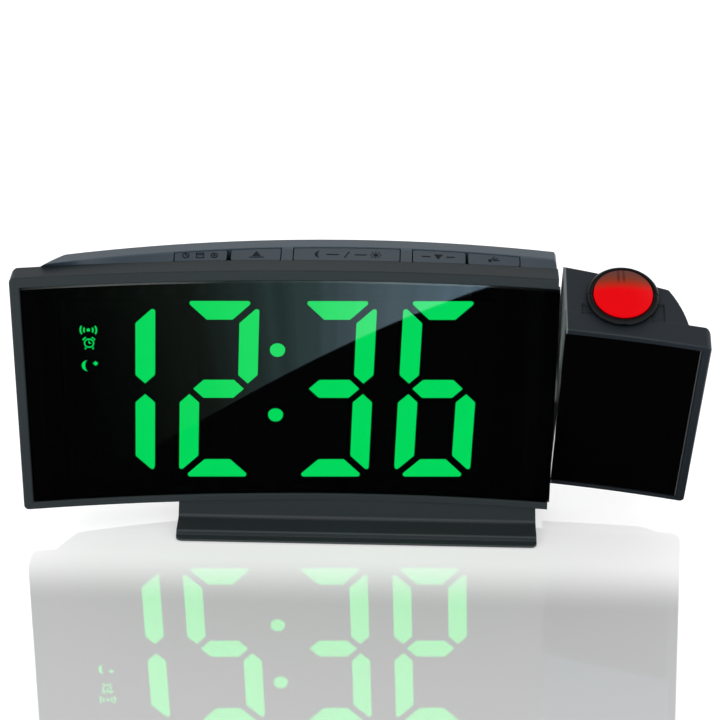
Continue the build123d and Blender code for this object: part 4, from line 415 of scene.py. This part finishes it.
# ---------------------------------------------------------------- signs
class Sign:
    """A sign drawn flat in millimetres about its middle, then laid on a node as a thin solid."""

    lift = 0.02
    thickness = 0.06

    def __init__(self):
        self.shape = bmesh.new()

    def disc(self, x, y, radius, segments=20, turn=0.0):
        """A filled circle, or a filled polygon of a few segments."""
        matrix = Matrix.Translation((x, y, 0.0)) @ Matrix.Rotation(turn, 4, "Z")
        circle = bmesh.ops.create_circle(
            self.shape, cap_ends=True, segments=segments, radius=radius, matrix=matrix
        )
        return circle["verts"]

    def triangle(self, x, y, radius, downwards=False):
        """A filled triangle that points up or down."""
        self.disc(x, y, radius, segments=3, turn=pi if downwards else 0.0)

    def arc(self, x, y, radius, width, start=0.0, sweep=2 * pi, steps=24):
        """A band round a centre, from a starting angle."""
        ends = []
        for reach in (radius - width / 2, radius + width / 2):
            end = (x + reach * cos(start), y + reach * sin(start), 0.0)
            ends.append(self.shape.verts.new(end))
        edge = self.shape.edges.new(ends)
        full = sweep >= 2 * pi
        bmesh.ops.spin(
            self.shape, geom=[*ends, edge], cent=(x, y, 0.0), axis=(0.0, 0.0, 1.0),
            angle=sweep, steps=steps, use_merge=full,
        )

    def bar(self, start, end, width):
        """A straight stroke."""
        first, last = Vector((*start, 0.0)), Vector((*end, 0.0))
        run = last - first
        size = Matrix.Diagonal((run.length / 2, width / 2, 1.0, 1.0))
        turn = Matrix.Rotation(atan2(run.y, run.x), 4, "Z")
        matrix = Matrix.Translation((first + last) / 2) @ turn @ size
        bmesh.ops.create_grid(self.shape, x_segments=6, y_segments=1, size=1.0, matrix=matrix)

    def crescent(self, x, y, radius, bite=0.4):
        """A disc with one side pushed in past its middle."""
        for vert in self.disc(x, y, radius, segments=28):
            if vert.co.x > x:
                vert.co.x = x - (vert.co.x - x) * bite

    def lay(self, node, matrix, direction):
        """Carry the sign to a node's surface and give it its thickness."""
        mesh = NODES[node].data
        corners = [vertex.co for vertex in mesh.vertices]
        surface = BVHTree.FromPolygons(corners, [face.vertices for face in mesh.polygons])
        bmesh.ops.triangulate(self.shape, faces=self.shape.faces[:])
        self.shape.transform(matrix @ Matrix.Scale(MM, 4))
        for vert in self.shape.verts:
            hit = surface.ray_cast(vert.co, direction)[0]
            if hit is None:
                raise RuntimeError(f"the sign for {node} reaches past it")
            vert.co = hit - direction * (self.lift * MM)
        sheet = self.shape.faces[:]
        raised = bmesh.ops.extrude_face_region(self.shape, geom=sheet)["geom"]
        tops = [item for item in raised if isinstance(item, bmesh.types.BMVert)]
        bmesh.ops.translate(self.shape, verts=tops, vec=-direction * (self.thickness * MM))
        bmesh.ops.recalc_face_normals(self.shape, faces=self.shape.faces[:])


def draw_mode(sign):
    """A clock, a calendar leaf and a ringed dot."""
    clock, dot = -4.3, 4.3
    leaf = 1.1
    for middle in (clock, dot):
        sign.arc(middle, 0.0, 0.95, 0.34)
    sign.bar((clock, 0.0), (clock, 0.7), 0.28)
    sign.bar((clock, 0.0), (clock + 0.55, -0.25), 0.28)
    for x in (-leaf, leaf):
        sign.bar((x, -1.0), (x, 1.0), 0.32)
    for y in (-0.95, 0.35, 1.0):
        sign.bar((-leaf, y), (leaf, y), 0.32)
    sign.disc(dot, 0.0, 0.42)


def draw_up(sign):
    """A triangle that points up, over a line."""
    sign.triangle(0.0, 0.0, 1.5)
    sign.bar((-2.2, -1.3), (2.2, -1.3), 0.36)


def draw_down(sign):
    """A triangle that points down, between two lines."""
    sign.triangle(0.0, 0.3, 1.5, downwards=True)
    for side in (-1, 1):
        sign.bar((side * 2.4, 0.0), (side * 5.0, 0.0), 0.36)


def draw_snooze(sign):
    """A moon, a stroke and a lamp between two lines."""
    lamp = 8.8
    inner, outer = 1.1, 1.7
    sign.crescent(-8.2, 0.0, 1.5)
    sign.bar((-6.2, 0.0), (-2.4, 0.0), 0.34)
    sign.bar((-0.7, -1.4), (0.7, 1.4), 0.34)
    sign.bar((2.4, 0.0), (6.0, 0.0), 0.34)
    sign.disc(lamp, 0.0, 0.75)
    for ray in range(8):
        angle = ray * pi / 4
        start = (lamp + inner * cos(angle), inner * sin(angle))
        end = (lamp + outer * cos(angle), outer * sin(angle))
        sign.bar(start, end, 0.28)


def draw_projector(sign):
    """A lens that throws three rays, flattened a little."""
    lens_x, rays_y, flatness = -1.4, -0.6, 0.7
    inner, outer = 1.1, 2.9
    sign.disc(lens_x, -0.5, 0.6)
    for angle in (radians(8), radians(36), radians(64)):
        start = (lens_x + inner * cos(angle), rays_y + inner * sin(angle) * flatness)
        end = (lens_x + outer * cos(angle), rays_y + outer * sin(angle) * flatness)
        sign.bar(start, end, 0.3)


def draw_sounding(sign):
    """A dot that sounds to both sides."""
    half_sweep = radians(34)
    sign.disc(0.0, 0.0, 0.55)
    for radius in (1.4, 2.45):
        for middle in (0.0, pi):
            sign.arc(0.0, 0.0, radius, 0.5, middle - half_sweep, 2 * half_sweep, 8)


def draw_alarm_clock(sign):
    """A small alarm clock with two bells and two feet."""
    dial = (0.0, -0.05)
    bell_lean, half_bell = radians(42), radians(19)
    sign.arc(*dial, 1.4, 0.42)
    sign.bar(dial, (0.0, 0.85), 0.32)
    sign.bar(dial, (0.65, -0.05), 0.32)
    for side in (1, -1):
        bell = pi / 2 - side * bell_lean
        sign.arc(*dial, 2.15, 0.42, bell - half_bell, 2 * half_bell, 6)
        sign.disc(side * 1.15, -1.85, 0.33, segments=10)


def draw_evening(sign):
    """A moon and a star."""
    sign.crescent(-0.7, 0.0, 1.9, bite=0.42)
    sign.disc(1.7, 0.8, 0.85, segments=4)


KEY_SIGNS = {
    "mode_key": draw_mode,
    "up_key": draw_up,
    "snooze_key": draw_snooze,
    "down_key": draw_down,
    "projector_key": draw_projector,
}
DISPLAY_SIGNS = {                # each sign's height in millimetres and its drawing
    "sounding": (69.5, draw_sounding),
    "alarm": (65.0, draw_alarm_clock),
    "evening": (57.1, draw_evening),
}


def add_piece(name, shape, finish, body):
    """Make a bmesh a piece that rides on a body and takes a slot's finish."""
    mesh = bpy.data.meshes.new(name)
    shape.to_mesh(mesh)
    shape.free()
    mesh.materials.append(finish.material)
    piece = bpy.data.objects.new(name, mesh)
    bpy.context.scene.collection.objects.link(piece)
    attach(piece, body)


def seen_rays(nodes):
    """One for the camera's rays, and one for all the rays that show a surface as it is."""
    kinds = ("Is Camera Ray", "Is Glossy Ray", "Is Transmission Ray")
    camera, glossy, through = nodes.node("LightPath", output=kinds)
    return camera, (camera + glossy + through).least(1.0)


def add_stage_sheet(name, half_size, place, finish, seen_by=RAYS):
    """A flat sheet of the stage that only some kinds of ray meet."""
    shape = bmesh.new()
    bmesh.ops.create_grid(shape, x_segments=1, y_segments=1, size=1.0)
    bmesh.ops.scale(shape, vec=(*half_size, 1.0), verts=shape.verts[:])
    bmesh.ops.translate(shape, vec=place, verts=shape.verts[:])
    mesh = bpy.data.meshes.new(name)
    shape.to_mesh(mesh)
    shape.free()
    mesh.materials.append(finish.material)
    sheet = bpy.data.objects.new(name, mesh)
    for ray in RAYS:
        setattr(sheet, "visible_" + ray, ray in seen_by)
    bpy.context.scene.collection.objects.link(sheet)


# ---------------------------------------------------------------- settings
def colour_setting(name, description, default):
    """A colour in the sidebar."""
    return FloatVectorProperty(
        name=name, description=description, subtype="COLOR", size=3,
        min=0.0, max=1.0, default=default,
    )


class ClockFinishSettings(bpy.types.PropertyGroup):
    """Colours and finishes of the clock."""

    bezel_colour: colour_setting(
        "Bezel", "Colour of the frame round the display", (0.027, 0.034, 0.037),
    )
    # the housing's own blue-grey, made bluer than the bezel as painted sky light on its top faces
    housing_colour: colour_setting(
        "Housing", "Colour of the housing and the keys", (0.029, 0.046, 0.062),
    )
    head_colour: colour_setting("Head", "Colour of the projector head", (0.0135, 0.019, 0.025))
    # painted light: the head's left wall is made lighter than the rest of the head, where light
    # catches it
    painted_wall_light: colour_setting(
        "Head wall", "Colour of the head's wall beside the clock", (0.14, 0.16, 0.16),
    )
    digit_colour: colour_setting("Digits", "Colour of the lit segments", (0.0, 0.71, 0.107))
    digit_glow: FloatProperty(
        name="Digit glow", description="Strength of the lit segments", default=3.55, min=0.0,
    )
    window_tint: FloatProperty(
        name="Window tint", description="How dark the window is", subtype="FACTOR",
        default=0.72, min=0.0, max=1.0,
    )
    lens_colour: colour_setting("Lens", "Colour of the lit projector lens", (0.71, 0.0015, 0.0045))
    sign_colour: colour_setting("Signs", "Colour of the signs on the keys", (0.010, 0.012, 0.015))


class ClockStageSettings(bpy.types.PropertyGroup):
    """Camera, floor and lights."""

    camera_place: FloatVectorProperty(
        name="Camera", description="Place of the camera", subtype="TRANSLATION", unit="LENGTH",
        size=3, default=(0.01381, -0.64951, 0.41225),
    )
    camera_yaw: FloatProperty(
        name="Yaw", description="Turn of the camera to the right", subtype="ANGLE",
        default=radians(-1.179),
    )
    camera_pitch: FloatProperty(
        name="Pitch", description="Tilt of the camera down", subtype="ANGLE",
        default=radians(28.628),
    )
    camera_roll: FloatProperty(
        name="Roll", description="Roll of the camera", subtype="ANGLE", default=radians(0.516),
    )
    focal_length: FloatProperty(
        name="Focal length", description="Lens of the camera in mm", default=120.0,
    )
    floor_colour: colour_setting("Floor", "Colour of the floor", (0.92, 0.92, 0.92))
    floor_glow: FloatProperty(
        name="Floor glow", description="White that the floor shows on top of its light",
        default=0.5,
    )
    floor_shine: FloatProperty(
        name="Floor shine", description="Share of the floor that mirrors, well in front",
        subtype="FACTOR", default=0.58,
    )
    world_light: FloatProperty(
        name="World", description="Strength of the white surroundings", default=1.0,
    )
    fill_light: FloatProperty(
        name="Fill", description="Power of the lamp in front", subtype="POWER", default=6.6,
    )
    ceiling_light: FloatProperty(
        name="Ceiling", description="Strength of the ceiling right above the clock", default=0.25,
    )


# ---------------------------------------------------------------- operators
class CLOCK_OT_stage(bpy.types.Operator):
    """Camera, pale floor, white surroundings, dim ceiling, a card for mirrors and a fill lamp"""

    bl_idname = "clock.stage"
    bl_label = "Stage"

    def execute(self, context):
        settings = context.scene.clock_stage
        self.camera(context, settings)
        self.floor(settings)
        self.world(context, settings)
        self.ceiling(settings)
        self.flag()
        self.fill_lamp(context, settings)
        context.scene.view_settings.view_transform = "Standard"
        return {"FINISHED"}

    def camera(self, context, settings):
        """The camera looks along its yaw and pitch, rolled about its own axis."""
        yaw, pitch, roll = settings.camera_yaw, settings.camera_pitch, settings.camera_roll
        forward = Vector((sin(yaw) * cos(pitch), cos(yaw) * cos(pitch), -sin(pitch)))
        right = Vector((cos(yaw), -sin(yaw), 0.0))
        up = right.cross(forward)
        across = right * cos(roll) + up * sin(roll)
        above = up * cos(roll) - right * sin(roll)
        turn = Matrix((across, above, -forward)).transposed().to_4x4()
        data = bpy.data.cameras.new("camera")
        data.sensor_width = 36.0
        data.lens = settings.focal_length
        data.clip_start = 0.01
        camera = bpy.data.objects.new("camera", data)
        camera.matrix_world = Matrix.Translation(settings.camera_place) @ turn
        context.scene.collection.objects.link(camera)
        context.scene.camera = camera

    def floor(self, settings):
        """A wide white floor that mirrors what stands on it, more so further in front."""
        colour = tuple(settings.floor_colour)
        finish = Finish("floor", Base_Color=colour, Roughness=0.7, Specular_IOR_Level=0.0)
        camera, seen = seen_rays(finish)
        finish.set(Emission_Color=WHITE, Emission_Strength=seen * settings.floor_glow)
        front = finish.axes()[1]
        shine = finish.ease(front, *MIRROR_FLOOR, NEAR_SHINE, settings.floor_shine)
        mirror = finish.node("BsdfGlossy", inputs={"Color": WHITE, "Roughness": MIRROR_BLUR})
        shaders = {0: camera * shine, 1: finish.surface, 2: mirror}
        finish.show(finish.node("MixShader", inputs=shaders))
        add_stage_sheet("floor", FLOOR_SIZE, (0.0, 0.0, 0.0), finish)

    def world(self, context, settings):
        """White all round, at a strength that shows as white."""
        world = bpy.data.worlds.new("studio")
        world.use_nodes = True
        nodes = Nodes(world.node_tree)
        seen = seen_rays(nodes)[1]
        strength = seen * (1.0 - settings.world_light) + settings.world_light
        background = nodes.node("Background", inputs={"Color": WHITE, "Strength": strength})
        background.plug(nodes.node("OutputWorld").inputs["Surface"])
        context.scene.world = world

    def ceiling(self, settings):
        """A ceiling, dim right above the clock and as bright as the surroundings at its edge."""
        finish = Finish("ceiling", Base_Color=UNLIT, Roughness=1.0, Specular_IOR_Level=0.0)
        x, y = finish.axes()[:2]
        reach = (x * x + y * y) ** 0.5
        strength = finish.ease(reach, *DIM_CEILING, settings.ceiling_light, 1.0)
        finish.set(Emission_Color=WHITE, Emission_Strength=strength)
        place = (0.0, 0.0, CEILING_HEIGHT)
        add_stage_sheet("ceiling", CEILING_SIZE, place, finish, seen_by=("diffuse", "glossy"))

    def flag(self):
        """A black card on the floor that only mirrors see, lit cool over its left part."""
        finish = Finish("flag", Base_Color=UNLIT, Roughness=1.0, Specular_IOR_Level=0.0)
        x, y = finish.axes()[:2]
        slope, bend, in_front = CARD_EDGE
        edge = x * slope - x * x * bend - in_front
        lit = finish.ease(y - edge, CARD_SOFTNESS, -CARD_SOFTNESS)
        across = share_of(x, CARD_LIGHT)
        colour = finish.node("ValToRGB", {"stops": CARD_STOPS}, {"Fac": across})
        inputs = {"W": across, "Scale": STREAKS, "Detail": 3.0}
        streaks = finish.node("TexNoise", {"noise_dimensions": "1D"}, inputs)
        strength = lit * (STREAK_LOW + streaks * STREAK_SPREAD) * CARD_PEAK
        finish.set(Emission_Color=colour, Emission_Strength=strength)
        under = finish.node("NewGeometry", output="Backfacing")
        clear = finish.node("BsdfTransparent")
        finish.show(finish.node("MixShader", inputs={0: under, 1: finish.surface, 2: clear}))
        add_stage_sheet("flag", CARD_SIZE, CARD_PLACE, finish, seen_by=("glossy",))

    def fill_lamp(self, context, settings):
        """A broad soft lamp low in front, which mirrors don't see."""
        place, aim = Vector(FILL_PLACE), Vector(FILL_AIM)
        data = bpy.data.lights.new("fill", "AREA")
        data.shape = "SQUARE"
        data.size = FILL_SIZE
        data.energy = settings.fill_light
        lamp = bpy.data.objects.new("fill", data)
        lamp.location = place
        lamp.rotation_euler = (aim - place).to_track_quat("-Z", "Y").to_euler()
        lamp.visible_glossy = False
        context.scene.collection.objects.link(lamp)


class CLOCK_OT_case(bpy.types.Operator):
    """Moulded plastic on the bezel, the housing, the foot and the head, with painted sheen on the
    housing's ridge and painted light on the head's left wall
    """

    bl_idname = "clock.case"
    bl_label = "Case"

    def execute(self, context):
        settings = context.scene.clock_finish
        frame_colour = tuple(settings.bezel_colour)
        housing_colour = tuple(settings.housing_colour)
        bezel = moulded_plastic("bezel plastic", frame_colour, 0.5, specular=0.12)
        x, y, z = bezel.axes()
        seat = behind_face(x, y, WINDOW_SEAT) * inside(x, SEAT_X) * inside(z, SEAT_Z)
        tint_where(bezel, seat, BLACK)
        finish_nodes(bezel, "front_bezel")
        foot = moulded_plastic("foot plastic", frame_colour, 0.42, specular=0.4)
        finish_nodes(foot, "foot")
        # the housing's colour is its own blue-grey with painted sky light on its top faces
        housing = moulded_plastic("housing plastic", housing_colour, 0.48, specular=0.55)
        z = housing.axes()[2]
        # painted sheen: the flat strip behind the keys is made lighter, as if lit from behind
        tint_where(housing, z > RIDGE_BOTTOM, shade(housing_colour, RIDGE_PAINTED_SHEEN))
        finish_nodes(housing, "rear_housing", "battery_door")
        head = moulded_plastic("head plastic", tuple(settings.head_colour), 0.45, specular=0.35)
        x = head.axes()[0]
        # painted light on the head's left wall beside the clock
        tint_where(head, x < HEAD_LEFT_WALL, tuple(settings.painted_wall_light))
        finish_nodes(head, "projector_bezel", "projector_shell")
        ring = moulded_plastic(
            "ring plastic", (0.002, 0.0025, 0.003), 0.15,
            specular=0.18, grain_depth=0.001, rounding=0.6,
        )
        finish_nodes(ring, "focus_ring")
        rubber = moulded_plastic("pad rubber", (0.015, 0.015, 0.016), 0.8, specular=0.3)
        finish_nodes(rubber, "foot_pads")
        return {"FINISHED"}


class CLOCK_OT_keys(bpy.types.Operator):
    """Plastic on the five keys, each with its sign"""

    bl_idname = "clock.keys"
    bl_label = "Keys"

    def execute(self, context):
        settings = context.scene.clock_finish
        keys = moulded_plastic("key plastic", tuple(settings.housing_colour), 0.46, specular=0.5)
        finish_nodes(keys, *KEY_SIGNS)
        sign_colour = tuple(settings.sign_colour)
        ink = moulded_plastic("sunk sign", sign_colour, 0.7, specular=0.12, rounding=0.0)
        for key, draw in KEY_SIGNS.items():
            low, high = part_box(key)
            middle = (low + high) / 2
            above = Vector((middle.x, middle.y - KEY_SIGN_SHIFT * MM, high.z + KEY_SIGN_DROP * MM))
            sign = Sign()
            draw(sign)
            along_curve = -asin(middle.x / (FACE_RADIUS * MM))
            matrix = Matrix.Translation(above) @ Matrix.Rotation(along_curve, 4, "Z")
            sign.lay(key, matrix, Vector((0.0, 0.0, -1.0)))
            add_piece(key + "_sign", sign.shape, ink, key + "_body")
        return {"FINISHED"}


class CLOCK_OT_windows(bpy.types.Operator):
    """Smoked display window and the black panel of the head, both with painted highlights on their
    edges
    """

    bl_idname = "clock.windows"
    bl_label = "Windows"

    def execute(self, context):
        finish_nodes(smoked_window(context.scene.clock_finish.window_tint), "display_window")
        panel = polished("gloss panel", BLACK, specular=0.3, roughness=0.02)
        x, y, z = panel.axes()
        upward = z * cos(HEAD_TURN) - y * sin(HEAD_TURN)
        # painted highlight: pale lines round the panel's edges, blended into its colour
        edge = 1 - inside(upward, PANEL_UPWARD) * (x < PANEL_RIGHT)
        tint_where(panel, edge, PANEL_PAINTED_HIGHLIGHT)
        finish_nodes(panel, "projector_panel")
        return {"FINISHED"}


class CLOCK_OT_display(bpy.types.Operator):
    """Lit and unlit segments, the lit signs and the light box around them"""

    bl_idname = "clock.display"
    bl_label = "Display"

    def execute(self, context):
        settings = context.scene.clock_finish
        green = tuple(settings.digit_colour)
        lit = glowing("lit segment", green, settings.digit_glow)
        finish_nodes(lit, "lit_segments")
        black = moulded_plastic(
            "light box black", (0.002, 0.002, 0.002), 0.9, specular=0.05, rounding=0.0,
        )
        finish_nodes(black, "display_frame", "dark_segments", "indicator_lenses")
        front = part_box("indicator_lenses")[0].y - DISPLAY_SIGN_DROP * MM
        upright = Matrix.Rotation(pi / 2, 4, "X")
        turn = Matrix.Rotation(DISPLAY_TURN, 4, "Z")
        for name, (height, draw) in DISPLAY_SIGNS.items():
            sign = Sign()
            draw(sign)
            place = Matrix.Translation((SIGN_COLUMN * MM, front, height * MM))
            sign.lay("indicator_lenses", place @ turn @ upright, Vector((0.0, 1.0, 0.0)))
            add_piece("lit_sign_" + name, sign.shape, lit, "clock")
        return {"FINISHED"}


class CLOCK_OT_lens(bpy.types.Operator):
    """Projector lens lit red"""

    bl_idname = "clock.lens"
    bl_label = "Lens"

    def execute(self, context):
        settings = context.scene.clock_finish
        low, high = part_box("projection_lens")
        centre = (low + high) / 2 / MM
        finish_nodes(lit_lens(tuple(settings.lens_colour), 1.0, centre), "projection_lens")
        finish_nodes(glowing("red led", tuple(settings.lens_colour), 2.0), "projector_led")
        return {"FINISHED"}


class CLOCK_OT_inside(bpy.types.Operator):
    """Boards, screws, sockets, cells and the parts of the swivel"""

    bl_idname = "clock.inside"
    bl_label = "Inner parts"

    def execute(self, context):
        board = polished("solder mask", (0.01, 0.12, 0.04), roughness=0.35)
        finish_nodes(board, "led_board", "main_board", "key_board", "projector_board")
        steel = plain_metal("screw steel", (0.5, 0.5, 0.51), 0.3)
        finish_nodes(
            steel, "housing_screws", "display_screws", "board_screws", "foot_screws",
            "pivot_screws", "tube_screws", "projector_screws", "usb_socket",
        )
        plated = plain_metal("plated spring steel", (0.7, 0.7, 0.69), 0.18)
        finish_nodes(plated, "battery_contacts", "friction_spring", "retaining_clip")
        black = moulded_plastic("component black", (0.015, 0.015, 0.016), 0.5, specular=0.4)
        finish_nodes(
            black, "board_parts", "key_switches", "power_inlet", "sounder", "lens_tube",
            "pivot_shaft",
        )
        sheath = moulded_plastic("lead sheath", (0.02, 0.02, 0.02), 0.6, specular=0.4)
        finish_nodes(sheath, "projector_lead")
        natural = moulded_plastic("natural plastic", (0.55, 0.55, 0.52), 0.5, specular=0.4)
        finish_nodes(natural, "pivot_bush", "swivel_washer", "lead_plug")
        sleeve = polished("cell sleeve", (0.03, 0.03, 0.035), roughness=0.25)
        finish_nodes(sleeve, "battery_cells")
        package = polished("led package", (0.75, 0.75, 0.65), roughness=0.3)
        finish_nodes(package, "display_leds")
        optic = polished("clear optic", (0.8, 0.82, 0.85), alpha=0.35)
        finish_nodes(optic, "condenser_lens")
        screen = polished("time screen", (0.08, 0.1, 0.1), alpha=0.7)
        finish_nodes(screen, "time_screen")
        return {"FINISHED"}


class CLOCK_PT_panel(bpy.types.Panel):
    """Lists the clock's operators and settings"""

    bl_label = "Projection Alarm Clock"
    bl_idname = "CLOCK_PT_panel"
    bl_space_type = "VIEW_3D"
    bl_region_type = "UI"
    bl_category = "Clock"

    def draw(self, context):
        for operator in STEPS:
            self.layout.operator(operator.bl_idname)
        for group in (context.scene.clock_finish, context.scene.clock_stage):
            box = self.layout.box()
            for name in group.__annotations__:
                box.prop(group, name)


STEPS = (
    CLOCK_OT_stage, CLOCK_OT_case, CLOCK_OT_keys, CLOCK_OT_windows,
    CLOCK_OT_display, CLOCK_OT_lens, CLOCK_OT_inside,
)
CLASSES = (ClockFinishSettings, ClockStageSettings, *STEPS, CLOCK_PT_panel)


def register():
    """Register the classes and hang the settings on the scene."""
    for item in CLASSES:
        bpy.utils.register_class(item)
    bpy.types.Scene.clock_finish = PointerProperty(type=ClockFinishSettings)
    bpy.types.Scene.clock_stage = PointerProperty(type=ClockStageSettings)


def unregister():
    """Remove the settings and the classes."""
    del bpy.types.Scene.clock_stage
    del bpy.types.Scene.clock_finish
    for item in reversed(CLASSES):
        bpy.utils.unregister_class(item)


def main():
    """Run every step."""
    register()
    for step in STEPS:
        group, name = step.bl_idname.split(".")
        getattr(getattr(bpy.ops, group), name)()


if __name__ == "__main__":
    main()
